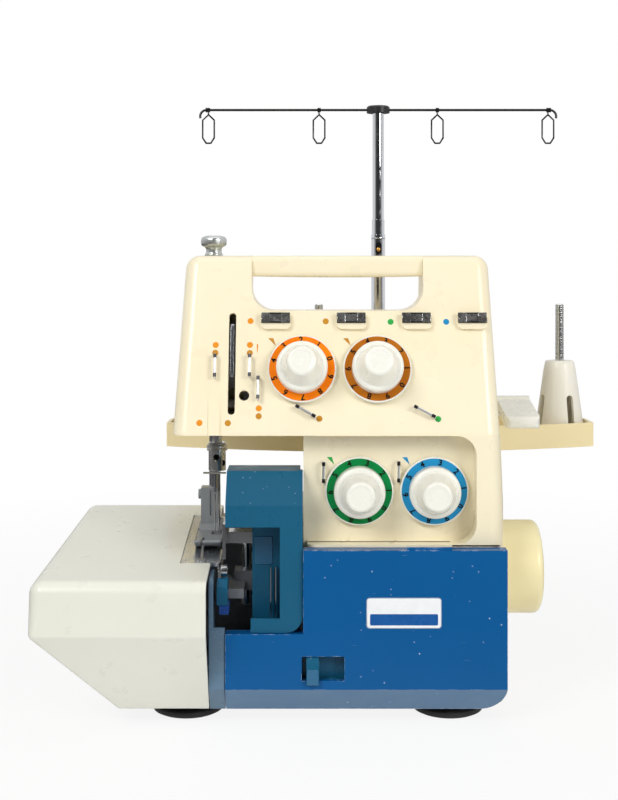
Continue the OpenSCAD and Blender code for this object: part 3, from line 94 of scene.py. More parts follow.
def srgb(red: float, green: float, blue: float) -> Colour:
    """Screen colour values from 0 to 255 as linear ones.

    Args:
        red: Red part.
        green: Green part.
        blue: Blue part.

    Returns:
        Linear red, green and blue.
    """

    def linear(value: float) -> float:
        """One channel, made linear."""
        v = value / 255
        return v / 12.92 if v <= 0.04045 else ((v + 0.055) / 1.055) ** 2.4

    return (linear(red), linear(green), linear(blue))


# -------------------- finishes


class Graph:
    """Builds the node tree of a material or of the world."""

    # The places of a mix node's colour sockets, whose names it also gives to other types.
    MIX_A = 6
    MIX_B = 7
    MIX_RESULT = 2

    def __init__(self, name: str, world: bool = False) -> None:
        """Starts an empty tree.

        Args:
            name: The material's or the world's name.
            world: True for a world.
        """
        self.owner = (bpy.data.worlds if world else bpy.data.materials).new(name)
        self.owner.use_nodes = True
        self.tree = self.owner.node_tree
        self.tree.nodes.clear()
        self.output = self.node("OutputWorld" if world else "OutputMaterial")

    def node(self, kind: str, *values: object, **named: object) -> bpy.types.Node:
        """Adds a node and fills its inputs.

        Args:
            kind: Its type, without ShaderNode.
            *values: What goes into the first inputs.
            **named: What goes into the inputs of these names, with _ for a space.

        Returns:
            The node.
        """
        made = self.tree.nodes.new(f"ShaderNode{kind}")
        for socket, value in zip(made.inputs, values):
            self.fill(socket, value)
        for name, value in named.items():
            self.fill(made.inputs[name.replace("_", " ")], value)
        return made

    def fill(self, socket: bpy.types.NodeSocket, value: object) -> None:
        """Links a socket to another one, or sets its constant.

        Args:
            socket: The input to fill.
            value: An output socket, a node for its first output, a number, a colour or None for the default.
        """
        if isinstance(value, bpy.types.Node):
            value = value.outputs[0]
        if isinstance(value, bpy.types.NodeSocket):
            self.tree.links.new(value, socket)
        elif isinstance(value, tuple) and socket.type == "RGBA":
            socket.default_value = (*value[:3], 1.0)
        elif value is not None:
            socket.default_value = value

    def place(self, scale: Point = (1, 1, 1), turn: Point = (0, 0, 0)) -> bpy.types.NodeSocket:
        """Object coordinates, stretched along each axis and turned about it, in degrees."""
        coords = self.node("TexCoord").outputs["Object"]
        return self.node("Mapping", coords, Scale=scale, Rotation=tuple(map(math.radians, turn))).outputs[0]

    def noise(
        self, scale: float, detail: float = 3.0, rough: float = 0.5, vector: object = None
    ) -> bpy.types.NodeSocket:
        """Noise from 0 to 1, in waves per metre, octaves and the weight of the fine ones."""
        where = vector or self.place()
        return self.node("TexNoise", where, Scale=scale, Detail=detail, Roughness=rough).outputs["Fac"]

    def cells(self, scale: float, vector: object = None, flat: bool = False) -> bpy.types.Node:
        """Voronoi cells.

        Args:
            scale: Cells per metre.
            vector: Coordinates, or None for the object's own.
            flat: True for cells in the plane of the first two coordinates.

        Returns:
            The node, with its Distance and Color outputs.
        """
        made = self.node("TexVoronoi", vector or self.place(), Scale=scale)
        made.voronoi_dimensions = "2D" if flat else "3D"
        return made

    def span(
        self, value: object, low: float, high: float, to_low: float = 0.0, to_high: float = 1.0
    ) -> bpy.types.NodeSocket:
        """Maps the range from low to high onto the one from to_low to to_high, clamped."""
        return self.node("MapRange", value, low, high, to_low, to_high).outputs[0]

    def step(self, operation: str, a: object, b: object = None, kind: str = "Math") -> bpy.types.Node:
        """One arithmetic step.

        Args:
            operation: Blender's name of the operation.
            a: First socket or number.
            b: Second socket or number.
            kind: Math, or VectorMath.

        Returns:
            The node.
        """
        made = self.node(kind, a, b)
        made.operation = operation
        return made

    def times(self, a: object, b: object) -> bpy.types.Node:
        """The product of two values."""
        return self.step("MULTIPLY", a, b)

    def mix(self, factor: object, a: object, b: object) -> bpy.types.NodeSocket:
        """Blends two colours.

        Args:
            factor: 0 gives a, 1 gives b.
            a: First colour or socket.
            b: Second colour or socket.

        Returns:
            The colour output.
        """
        made = self.node("Mix", factor)
        made.data_type = "RGBA"
        self.fill(made.inputs[self.MIX_A], a)
        self.fill(made.inputs[self.MIX_B], b)
        return made.outputs[self.MIX_RESULT]

    def bump(
        self, height: object, depth_mm: float, strength: float = 1.0, under: object = None
    ) -> bpy.types.Node:
        """A normal that follows a height from 0 to 1 and adds to the one under it."""
        return self.node("Bump", Distance=depth_mm * MM, Strength=strength, Height=height, Normal=under)

    def edge_mask(self, radius_mm: float) -> bpy.types.NodeSocket:
        """1 near the object's edges and 0 on its faces.

        Args:
            radius_mm: Width of the band along an edge.

        Returns:
            The mask output.
        """
        bevel = self.node("Bevel", Radius=radius_mm * MM)
        bevel.samples = 4
        flat = self.node("NewGeometry").outputs["Normal"]
        return self.span(self.step("DOT_PRODUCT", bevel, flat, "VectorMath").outputs["Value"], 0.985, 0.86)

    def underside(self) -> bpy.types.NodeSocket:
        """1 on the faces that look down when the piece is at rest, and 0 on the others."""
        parts = self.node("SeparateXYZ", self.node("TexCoord").outputs["Normal"])
        return self.span(parts.outputs["Z"], -0.3, -0.6)

    def shade(self, **values: object) -> bpy.types.Material:
        """Ends in a principled shader with these inputs, and gives the material."""
        return self.end(self.node("BsdfPrincipled", **values))

    def end(self, shader: bpy.types.Node) -> bpy.types.ID:
        """Links the last shader to the output, and gives the material or the world."""
        self.fill(self.output.inputs["Surface"], shader)
        return self.owner


@dataclass(frozen=True)
class Moulding:
    """A moulded plastic with a fine grain and slow changes of tone."""

    name: str
    tone: Colour
    shadow_tone: Colour
    roughness: float = 0.34
    grain_mm: float = 0.012
    coat: float = 0.25
    speckle: float = 0.0
    ripple_mm: float = 0.03
    gloss: float = 0.5
    fleck_tone: Colour = srgb(205, 220, 228)

    def build(self) -> bpy.types.Material:
        """Makes the material.

        Returns:
            The material.
        """
        g = Graph(self.name)
        drift = g.span(g.noise(9, 4, 0.55), 0.35, 0.75)
        tone = g.mix(g.times(drift, 0.55), self.tone, self.shadow_tone)
        smudge = g.noise(60, 5, 0.6)
        rough = g.span(smudge, 0.3, 0.7, self.roughness - 0.05, self.roughness + 0.07)
        if self.speckle:
            dots = g.cells(420)
            lone = g.step("GREATER_THAN", dots.outputs["Color"], 0.7)
            fleck = g.times(g.span(dots.outputs["Distance"], 0.17, 0.1), lone)
            tone = g.mix(g.times(fleck, self.speckle), tone, self.fleck_tone)
        grain = g.bump(g.noise(1500, 2, 0.6), self.grain_mm)
        ripple = g.bump(g.noise(38, 2, 0.4), self.ripple_mm, 0.6, grain)
        return g.shade(
            Base_Color=tone,
            Roughness=rough,
            Normal=ripple,
            Coat_Weight=self.coat,
            Coat_Roughness=0.12,
            Specular_IOR_Level=self.gloss,
        )


@dataclass(frozen=True)
class ScuffedPaint:
    """A gloss paint with small chips, hairline scratches, worn edges and a painted reflection of the floor on
    its underside.
    """

    name: str
    tone: Colour
    worn_tone: Colour
    rubbed_tone: Colour
    roughness: float = 0.22
    worn_roughness: float = 0.55
    edge_mm: float = 0.9
    gloss: float = 0.18
    cells_per_m: float = 290.0
    whole: float = 0.84
    scratch_deg: float = 24.0

    def build(self) -> bpy.types.Material:
        """Makes the material.

        Returns:
            The material.
        """
        g = Graph(self.name)
        drift = g.span(g.noise(14, 3, 0.5), 0.3, 0.7)
        tone = g.mix(g.times(drift, 0.35), self.tone, tuple(c * 0.82 for c in self.tone))
        worn = self.wear(g)
        # Painted reflection: faces that look down get a grey-blue tint, as if they mirrored the pale floor.
        floor_sheen = g.times(g.underside(), g.span(g.noise(55, 4, 0.6), 0.2, 0.6, 0.82, 1.0))
        tone = g.mix(floor_sheen, tone, self.rubbed_tone)
        tone = g.mix(worn, tone, self.worn_tone)
        peel = g.bump(g.noise(420, 2, 0.5), 0.02, 0.7)
        relief = g.bump(g.step("SUBTRACT", 1.0, worn), 0.04, 0.8, peel)
        rough = g.span(worn, 0, 1, self.roughness, self.worn_roughness)
        return g.shade(Base_Color=tone, Roughness=rough, Normal=relief, Specular_IOR_Level=self.gloss)

    def wear(self, g: Graph) -> bpy.types.NodeSocket:
        """Where the paint is gone: in chips, in hairlines and along the edges.

        Args:
            g: The graph to build in.

        Returns:
            The mask output.
        """
        dots = g.cells(self.cells_per_m, g.place(turn=(90, 0, 0)), True)
        lone = g.step("GREATER_THAN", dots.outputs["Color"], self.whole)
        worked = g.span(g.noise(19, 3, 0.6), 0.5, 0.62)
        chip = g.times(g.span(dots.outputs["Distance"], 0.15, 0.08), g.times(lone, worked))
        streaks = g.noise(1.0, 3, 0.7, g.place((60, 60, 1400), (0, self.scratch_deg, 0)))
        patch = g.span(g.noise(22, 2, 0.5, g.place(turn=(40, 10, 70))), 0.58, 0.68)
        line = g.times(g.span(streaks, 0.69, 0.72), patch)
        bitten = g.span(g.noise(160, 4, 0.7), 0.48, 0.62, 0.0, 0.7)
        edge = g.times(g.edge_mask(self.edge_mm), bitten)
        return g.step("MINIMUM", g.step("ADD", g.step("ADD", chip, g.times(line, 0.6)), edge), 1.0)


class Brushing(Enum):
    """The way that a metal's fine lines run."""

    ALONG_X = (4, 700, 700)
    ALONG_Y = (700, 4, 700)
    ALONG_Z = (700, 700, 4)
    NONE = (160, 160, 160)
    RINGS = (3, 3, 1100)


@dataclass(frozen=True)
class Metal:
    """A bare or plated metal with fine lines, smudges and a little dirt."""

    name: str
    tone: Colour
    roughness: float = 0.22
    brushing: Brushing = Brushing.ALONG_Z
    line_mm: float = 0.006
    dirt: float = 0.25

    def build(self) -> bpy.types.Material:
        """Makes the material.

        Returns:
            The material.
        """
        g = Graph(self.name)
        lines = g.noise(1.0, 4, 0.65, g.place(self.brushing.value))
        smudge = g.noise(85, 5, 0.65)
        dark = g.times(g.span(smudge, 0.5, 0.78), self.dirt)
        tone = g.mix(dark, self.tone, tuple(c * 0.45 for c in self.tone))
        brushed = g.span(lines, 0.3, 0.7, self.roughness - 0.04, self.roughness + 0.08)
        rough = g.step("ADD", brushed, g.times(dark, 0.5))
        return g.shade(Base_Color=tone, Roughness=rough, Normal=g.bump(lines, self.line_mm), Metallic=1.0)


@dataclass(frozen=True)
class Mottled:
    """A blackened plate whose bright plating shows through in small spots."""

    name: str
    bright: Colour
    black: Colour
    roughness: float = 0.24
    bare: float = 0.5

    def build(self) -> bpy.types.Material:
        """Makes the material.

        Returns:
            The material.
        """
        g = Graph(self.name)
        spots = g.noise(620, 5, 0.72)
        patch = g.span(g.noise(120, 2, 0.5), 0.35, 0.7, -0.12, 0.12)
        bare = g.span(g.step("ADD", spots, patch), self.bare, self.bare + 0.09)
        tone = g.mix(bare, self.black, self.bright)
        rough = g.span(bare, 0, 1, self.roughness + 0.14, self.roughness)
        return g.shade(Base_Color=tone, Roughness=rough, Normal=g.bump(spots, 0.05, 0.7), Metallic=1.0)


@dataclass(frozen=True)
class Casting:
    """A rough cast or sintered metal."""

    name: str
    tone: Colour
    roughness: float = 0.5
    pores_mm: float = 0.12

    def build(self) -> bpy.types.Material:
        """Makes the material.

        Returns:
            The material.
        """
        g = Graph(self.name)
        sand = g.noise(420, 6, 0.7)
        blot = g.span(g.noise(30, 4, 0.6), 0.3, 0.75)
        tone = g.mix(blot, self.tone, tuple(c * 0.68 for c in self.tone))
        rough = g.span(sand, 0.3, 0.7, self.roughness - 0.1, self.roughness + 0.15)
        return g.shade(Base_Color=tone, Roughness=rough, Normal=g.bump(sand, self.pores_mm, 0.6), Metallic=1.0)


@dataclass(frozen=True)
class Rubber:
    """Matt rubber, dusty on its faces."""

    name: str
    tone: Colour
    dust: Colour
    roughness: float = 0.72

    def build(self) -> bpy.types.Material:
        """Makes the material.

        Returns:
            The material.
        """
        g = Graph(self.name)
        dust = g.span(g.noise(120, 6, 0.65), 0.42, 0.8)
        tone = g.mix(g.times(dust, 0.6), self.tone, self.dust)
        rough = g.span(dust, 0, 1, self.roughness, 0.92)
        return g.shade(Base_Color=tone, Roughness=rough, Normal=g.bump(g.noise(900, 3, 0.6), 0.03))


@dataclass(frozen=True)
class Print:
    """Ink on plastic, a little uneven."""

    name: str
    tone: Colour
    deep_tone: Colour
    roughness: float = 0.38
    gloss: float = 0.16

    def build(self) -> bpy.types.Material:
        """Makes the material.

        Returns:
            The material.
        """
        g = Graph(self.name)
        cloud = g.span(g.noise(140, 4, 0.6), 0.3, 0.75)
        tone = g.mix(cloud, self.tone, self.deep_tone)
        rough = g.span(g.noise(500, 3, 0.5), 0.3, 0.7, self.roughness - 0.06, self.roughness + 0.08)
        grain = g.bump(g.noise(1300, 2, 0.5), 0.008)
        return g.shade(Base_Color=tone, Roughness=rough, Normal=grain, Specular_IOR_Level=self.gloss)


class Finishes:
    """Every finish of the machine, built once."""

    def __init__(self) -> None:
        """Builds the materials by name."""
        self.made: dict[str, bpy.types.Material] = {}
        for finish in (
            Moulding("cream_moulding", srgb(252, 242, 212), srgb(246, 231, 192), 0.3),
            Moulding("butter_moulding", srgb(253, 236, 186), srgb(248, 226, 170), 0.36),
            # A brighter copy of the butter moulding: painted light on the handwheel's shaded front.
            Moulding("handwheel_lit_moulding", srgb(255, 244, 194), srgb(253, 238, 182), 0.36),
            Moulding("teal_moulding", srgb(24, 94, 126), srgb(14, 80, 112), 0.3, 0.01, 0.0, 0.5, 0.03, 0.22),
            Moulding("pale_moulding", srgb(238, 238, 226), srgb(229, 229, 214), 0.3),
            Moulding("knob_moulding", srgb(247, 246, 236), srgb(242, 240, 227), 0.26, 0.002, 0.3, 0.0, 0.003),
            Moulding("cone_moulding", srgb(250, 246, 232), srgb(243, 238, 222), 0.42),
            Moulding("black_moulding", srgb(30, 30, 31), srgb(20, 20, 21), 0.45, 0.03, 0.05),
            Moulding("black_satin", srgb(26, 26, 27), srgb(20, 20, 21), 0.4, 0.002, 0.1, 0.0, 0.004),
            Moulding("slate_moulding", srgb(40, 104, 142), srgb(30, 94, 132), 0.3, 0.01, 0.1, 0.4),
            # A lighter, greyer copy of the teal moulding: painted light on the side plate's slanted face.
            Moulding("side_plate_lit_moulding", srgb(96, 126, 150), srgb(84, 114, 138), 0.28, 0.01, 0.1, 0.3),
            Moulding("knob_blue_moulding", srgb(20, 82, 170), srgb(14, 62, 140), 0.26),
            Moulding("grey_enamel", srgb(150, 154, 158), srgb(128, 132, 136), 0.3, 0.01, 0.3, 0.3),
            Moulding("motor_enamel", srgb(84, 87, 92), srgb(66, 69, 74), 0.42, 0.03, 0.1),
            # Its last colour is the painted floor reflection on the cover's underside.
            ScuffedPaint("blue_paint", srgb(6, 90, 152), srgb(190, 208, 228), srgb(108, 139, 169)),
            Metal("polished_steel", srgb(206, 208, 212), 0.16),
            Metal("plate_steel", srgb(204, 206, 210), 0.2, Brushing.ALONG_Y),
            Metal("shaft_steel", srgb(196, 198, 202), 0.2, Brushing.ALONG_X),
            Metal("chrome", srgb(222, 224, 228), 0.07, Brushing.NONE, 0.002, 0.12),
            Metal("satin_alloy", srgb(206, 210, 208), 0.34, Brushing.NONE, 0.01, 0.3),
            Metal("wire_chrome", srgb(244, 244, 245), 0.36, Brushing.NONE, 0.004, 0.2),
            Metal("dark_chrome", srgb(236, 235, 232), 0.2, Brushing.NONE, 0.004, 0.6),
            Metal("loop_chrome", srgb(70, 70, 73), 0.16, Brushing.NONE, 0.004, 0.4),
            Mottled("dark_steel", srgb(244, 243, 240), srgb(104, 103, 100), 0.22, 0.47),
            Metal("thread_steel", srgb(214, 216, 214), 0.22, Brushing.RINGS, 0.16, 0.4),
            Metal("gunmetal", srgb(70, 70, 72), 0.3, Brushing.NONE, 0.01, 0.4),
            Casting("cast_alloy", srgb(176, 178, 182)),
            Metal("brass", srgb(214, 160, 82), 0.24, Brushing.NONE, 0.004, 0.3),
            Casting("bronze", srgb(190, 146, 84), 0.42, 0.05),
            Rubber("foot_rubber", srgb(26, 26, 27), srgb(74, 72, 70)),
            Rubber("belt_rubber", srgb(34, 34, 35), srgb(66, 64, 62)),
            Print("orange_ink", srgb(252, 140, 6), srgb(246, 118, 2)),
            Print("amber_ink", srgb(241, 154, 36), srgb(232, 140, 26)),
            Print("brown_ink", srgb(190, 112, 20), srgb(178, 100, 14)),
            Print("mustard_ink", srgb(206, 146, 44), srgb(194, 132, 34)),
            Print("green_ink", srgb(8, 140, 72), srgb(4, 126, 60)),
            Print("leaf_ink", srgb(60, 178, 84), srgb(46, 164, 70)),
            Print("sky_ink", srgb(40, 150, 204), srgb(30, 138, 192)),
            Print("black_ink", srgb(28, 26, 24), srgb(20, 18, 17)),
            Print("gap_black", srgb(14, 14, 16), srgb(8, 8, 10), 0.7),
            Print("badge_grey", srgb(150, 168, 190), srgb(136, 154, 178), 0.4),
            Print("badge_white", srgb(246, 247, 248), srgb(238, 240, 242), 0.3),
            Print("badge_blue", srgb(30, 94, 164), srgb(22, 84, 152), 0.3),
        ):
            self.made[finish.name] = finish.build()

    def __getitem__(self, name: str) -> bpy.types.Material:
        """The material of that name."""
        return self.made[name]


# -------------------- shapes


@dataclass
class Seat:
    """A place on a surface: where it is, and which way is right and out."""

    origin: Vector
    right: Vector
    out: Vector

    def matrix(self) -> Matrix:
        """A matrix whose X is right, Y is up the surface and Z is out of it."""
        axes = Matrix((self.right, self.out.cross(self.right), self.out)).transposed()
        return Matrix.Translation(self.origin) @ axes.to_4x4()

    def moved(self, right_mm: float, up_mm: float) -> "Seat":
        """The same seat, slid over its surface to the right and up."""
        step = (self.right * right_mm + self.out.cross(self.right) * up_mm) * MM
        return Seat(self.origin + step, self.right, self.out)

    def turned(self, degrees: float) -> "Seat":
        """The same seat, turned counter-clockwise about its outward axis."""
        return Seat(self.origin, Matrix.Rotation(math.radians(degrees), 3, self.out) @ self.right, self.out)


def face_seat(x: float, z: float) -> Seat:
    """A seat on the leaning upper face, at x and z in mm."""
    y = FACE_FOOT + (z - ARM_UNDERSIDE) * math.tan(FACE_LEAN)
    return Seat(spot(x, y, z), RIGHT, FACE_OUT)


def front_seat(x: float, y: float, z: float) -> Seat:
    """A seat on an upright face that looks to the front, at x, y and z in mm."""
    return Seat(spot(x, y, z), RIGHT, FORWARD)


def top_seat(x: float, y: float, z: float) -> Seat:
    """A seat on a level face that looks up, at x, y and z in mm."""
    return Seat(spot(x, y, z), RIGHT, UP)


def rear_seat(x: float, y: float, z: float) -> Seat:
    """A seat on an upright face that looks to the rear, at x, y and z in mm."""
    return Seat(spot(x, y, z), -RIGHT, -FORWARD)


class Piece:
    """One mesh of the scene, drawn in mm on a seat and then dressed."""

    def __init__(self, name: str) -> None:
        """Starts an empty mesh.

        Args:
            name: The piece's name.
        """
        self.name = name
        self.mesh = bmesh.new()

    def prism(self, outline: Outline, seat: Seat, low: float, high: float, bevel: float = 0.0) -> "Piece":
        """Adds an outline that is raised from low to high on a seat.

        Args:
            outline: Corner points in mm, counter-clockwise.
            seat: Where it lies.
            low: Start height in mm.
            high: End height in mm.
            bevel: Width of a chamfer round its top, in mm.

        Returns:
            The same piece.
        """
        m = seat.matrix()
        middle = Vector((sum(p[0] for p in outline), sum(p[1] for p in outline))) / len(outline)
        reach = max((Vector(p) - middle).length for p in outline)
        rings = [(low, 1.0), (high - bevel, 1.0)] + ([(high, 1 - bevel / reach)] if bevel else [])
        loops = []
        for height, share in rings:
            points = [middle + (Vector(p) - middle) * share for p in outline]
            loops.append([self.mesh.verts.new(m @ Vector((p.x * MM, p.y * MM, height * MM))) for p in points])
        return self.skin(loops)

    def skin(self, loops: list[list[bmesh.types.BMVert]]) -> "Piece":
        """Joins loops of as many points each, one to the next, and closes both ends.

        Args:
            loops: The loops, in order.

        Returns:
            The same piece.
        """
        for a, b in zip(loops, loops[1:]):
            for i in range(len(a)):
                j = (i + 1) % len(a)
                self.mesh.faces.new((a[i], a[j], b[j], b[i]))
        self.mesh.faces.new(loops[-1])
        self.mesh.faces.new(list(reversed(loops[0])))
        return self

    def lathe(self, profile: Outline, seat: Seat, steps: int = 40) -> "Piece":
        """Adds a turned shape about a seat's outward axis.

        Args:
            profile: Radius and height pairs in mm, from the axis round to the axis.
            seat: Its axis and foot.
            steps: Steps round the turn.

        Returns:
            The same piece.
        """
        m = seat.matrix()
        rings: list[list[bmesh.types.BMVert]] = []
        for radius, height in profile:
            if radius < 1e-6:
                rings.append([self.mesh.verts.new(m @ Vector((0, 0, height * MM)))])
                continue
            ring = []
            for i in range(steps):
                a = 2 * math.pi * i / steps
                corner = Vector((radius * math.cos(a), radius * math.sin(a), height)) * MM
                ring.append(self.mesh.verts.new(m @ corner))
            rings.append(ring)
        for a, b in zip(rings, rings[1:]):
            for i in range(steps):
                j = (i + 1) % steps
                corners = [a[i % len(a)], a[j % len(a)], b[j % len(b)], b[i % len(b)]]
                unique = list(dict.fromkeys(corners))
                if len(unique) > 2:
                    self.mesh.faces.new(unique)
        return self

    def wire(self, points: list[Vector], radius_mm: float, steps: int = 10) -> "Piece":
        """Adds a round wire through points of the shared frame.

        Args:
            points: Its centreline.
            radius_mm: Its radius.
            steps: Sides of the wire.

        Returns:
            The same piece.
        """
        rings = []
        side = ANY_SIDE
        for i, p in enumerate(points):
            ahead = (points[min(i + 1, len(points) - 1)] - points[max(i - 1, 0)]).normalized()
            side = (side - ahead * side.dot(ahead)).normalized()
            across = ahead.cross(side)
            ring = []
            for k in range(steps):
                a = 2 * math.pi * k / steps
                spoke = side * math.cos(a) + across * math.sin(a)
                ring.append(self.mesh.verts.new(p + spoke * radius_mm * MM))
            rings.append(ring)
        return self.skin(rings)

    def finish(self, body: str, finish: bpy.types.Material, slot: str, smooth_deg: float = 35.0) -> None:
        """Makes the object, dresses it and lets it ride.

        Args:
            body: The CAD body that carries it.
            finish: Its material.
            slot: The record's material slot; not used.
            smooth_deg: Edges sharper than this stay sharp.
        """
        bmesh.ops.recalc_face_normals(self.mesh, faces=self.mesh.faces[:])
        data = bpy.data.meshes.new(self.name)
        self.mesh.to_mesh(data)
        self.mesh.free()
        for polygon in data.polygons:
            polygon.use_smooth = True
        data.set_sharp_from_angle(angle=math.radians(smooth_deg))
        thing = bpy.data.objects.new(self.name, data)
        bpy.context.scene.collection.objects.link(thing)
        data.materials.append(finish)
        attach(thing, body)


def rounded_box(width: float, height: float, radius: float, steps: int = 6) -> Outline:
    """A rectangle with round corners, about its middle.

    Args:
        width: Width in mm.
        height: Height in mm.
        radius: Corner radius in mm.
        steps: Points of each corner.

    Returns:
        The outline, counter-clockwise.
    """
    points = []
    for cx, cy, start in ((1, 1, 0), (-1, 1, 90), (-1, -1, 180), (1, -1, 270)):
        for i in range(steps + 1):
            a = math.radians(start + 90 * i / steps)
            across = cx * (width / 2 - radius) + radius * math.cos(a)
            points.append((across, cy * (height / 2 - radius) + radius * math.sin(a)))
    return points


# -------------------- sub-assemblies


@dataclass
class Assembly:
    """A sub-assembly of the machine, dressed with the finishes."""

    finishes: Finishes
    crease_deg: ClassVar[float] = 32.0
    slack_deg: ClassVar[float] = 3.0
    flat_deg: ClassVar[float] = 0.3
    flat_weight: ClassVar[int] = 60

    def dress(self, finish: str, soft_mm: float, *nodes: str) -> None:
        """Gives CAD nodes their material and softens their edges.

        Args:
            finish: The finish's name.
            soft_mm: Width of the softened edges, or 0 for none.
            *nodes: The nodes' names.
        """
        for node in nodes:
            thing = frame["nodes"][node]
            thing.data.materials.clear()
            thing.data.materials.append(self.finishes[finish])
            if "custom_normal" in thing.data.attributes:
                thing.data.attributes.remove(thing.data.attributes["custom_normal"])
            for polygon in thing.data.polygons:
                polygon.use_smooth = True
            weld = thing.modifiers.new("weld", "WELD")
            weld.merge_threshold = 1e-6
            if soft_mm:
                flat = thing.modifiers.new("planes", "DECIMATE")
                flat.decimate_type = "DISSOLVE"
                flat.angle_limit = math.radians(self.flat_deg)
                bevel = thing.modifiers.new("soft_edges", "BEVEL")
                bevel.width = soft_mm * MM
                bevel.segments = 2
                bevel.limit_method = "ANGLE"
                bevel.angle_limit = math.radians(self.crease_deg)
                bevel.use_clamp_overlap = True
            split = thing.modifiers.new("creases", "EDGE_SPLIT")
            split.split_angle = math.radians(self.crease_deg + (self.slack_deg if soft_mm else 0))
            weighted = thing.modifiers.new("flats", "WEIGHTED_NORMAL")
            weighted.weight = self.flat_weight


@dataclass
class Housing(Assembly):
    """The moulded housings, the bed cover and the printed marks on them."""

    dot_mm: float = 3.7
    proud_mm: float = 0.22
    screw_mm: float = 6.4
    rear_y: float = 135.0
    screw_places: Places = ((8, 24), (108, 24), (8, 160), (108, 160), (-66, 182), (-58, 262), (98, 262))
    sill_mm: Size = (86.0, 1.5)
    joint_mm: Size = (28.6, 0.8)
    dot_places: ClassVar[dict[str, Outline]] = {
        "amber_ink": [(-32.3, 239.8), (-53.3, 225.4), (-32.5, 225.4), (-26.7, 188.0), (-62.1, 179.5)],
        "mustard_ink": [(13.7, 239.6), (-53.4, 220.7), (-32.5, 220.6)]
        + [(-26.7, 183.4), (-45.1, 179.4), (9.7, 182.0)],
        "leaf_ink": [(53.4, 239.3), (80.8, 181.8)],
        "sky_ink": [(87.4, 239.3)],
    }

    def build(self) -> None:
        """Dresses the housings and adds their marks and screws."""
        self.dress("cream_moulding", 0.3, "front_housing", "rear_housing", "carry_handle", "bed_cover")
        self.dots()
        self.pointers()
        self.screws()
        self.sill_gap()

    def sill_gap(self) -> None:
        """Adds dark strips in the joints under the lower panel and over the cover: real gaps, darkened as
        painted shadow.
        """
        piece = Piece("sill_gap")
        # Painted shadow: black strips along the joints where the panel's sill and the column's foot cast
        # shade.
        piece.prism(rounded_box(*self.sill_mm, 0.6), top_seat(45.5, 19.2, 107.0), -0.3, 0.12)
        piece.prism(rounded_box(*self.joint_mm, 0.35), front_seat(103.2, 10.0, 106.5), -0.3, 0.12)
        piece.finish("machine", self.finishes["gap_black"], "cream_housing")

    def dots(self) -> None:
        """Adds the coloured dots, a little crowned."""
        half, top = self.dot_mm / 2, self.proud_mm
        crown = [(0, top), (half * 0.6, top * 0.9), (half * 0.9, top * 0.62), (half, top * 0.2)]
        for ink, places in self.dot_places.items():
            piece = Piece(f"dots_{ink.removesuffix('_ink')}")
            for x, z in places:
                piece.lathe([*crown, (half, -0.5), (0, -0.5)], face_seat(x, z), 28)
            piece.finish("machine", self.finishes[ink], "cream_housing")

    def pointers(self) -> None:
        """Adds the printed pointers beside the dials."""
        wedge = [(0.4, 2.0), (1.9, -2.6), (-2.6, 1.9)]
        sliver = [(-0.1, -2.6), (0.15, -2.6), (0.62, 2.5), (-0.25, 2.6)]
        for name, ink, outline, seat in (
            ("pointer_orange", "mustard_ink", wedge, face_seat(-18.7, 227.5)),
            ("pointer_brown", "mustard_ink", wedge, face_seat(26.9, 227.5)),
            ("pointer_green", "leaf_ink", wedge, front_seat(16.9, PANEL_Y, 155.5)),
            ("pointer_blue", "sky_ink", wedge, front_seat(62.7, PANEL_Y, 155.4)),
            ("pointer_sliver", "amber_ink", sliver, face_seat(-28.0, 223.4)),
        ):
            piece = Piece(name).prism(outline, seat, -0.4, self.proud_mm * 0.7)
            piece.finish("machine", self.finishes[ink], "cream_housing")

    def screws(self) -> None:
        """Adds the countersunk screws that hold the rear housing."""
        piece = Piece("rear_screws")
        half = self.screw_mm / 2
        slot = half * 0.55
        head = [(0, 0.55), (slot, 0.5), (half * 0.9, 0.2), (half, -0.2), (half, -0.8), (0, -0.8)]
        bar = [(-slot, -0.35), (slot, -0.35), (slot, 0.35), (-slot, 0.35)]
        for x, z in self.screw_places:
            seat = rear_seat(x, self.rear_y, z)
            piece.lathe(head, seat, 24)
            for turn in (45, 135):
                piece.prism(bar, seat.turned(turn), 0.3, 0.62)
        piece.finish("machine", self.finishes["polished_steel"], "bright_steel")


class Tension(Enum):
    """The four tension dials: body, ink, the turn of the digit 0 from upright, and seat."""

    LEFT_NEEDLE = ("left_needle", "orange_ink", 70.0, face_seat(-0.75, 210.6))
    RIGHT_NEEDLE = ("right_needle", "brown_ink", 125.0, face_seat(44.75, 210.6))
    UPPER_LOOPER = ("upper_looper", "green_ink", 124.0, front_seat(33.9, PANEL_Y, 137.3))
    LOWER_LOOPER = ("lower_looper", "sky_ink", 119.5, front_seat(79.3, PANEL_Y, 137.3))


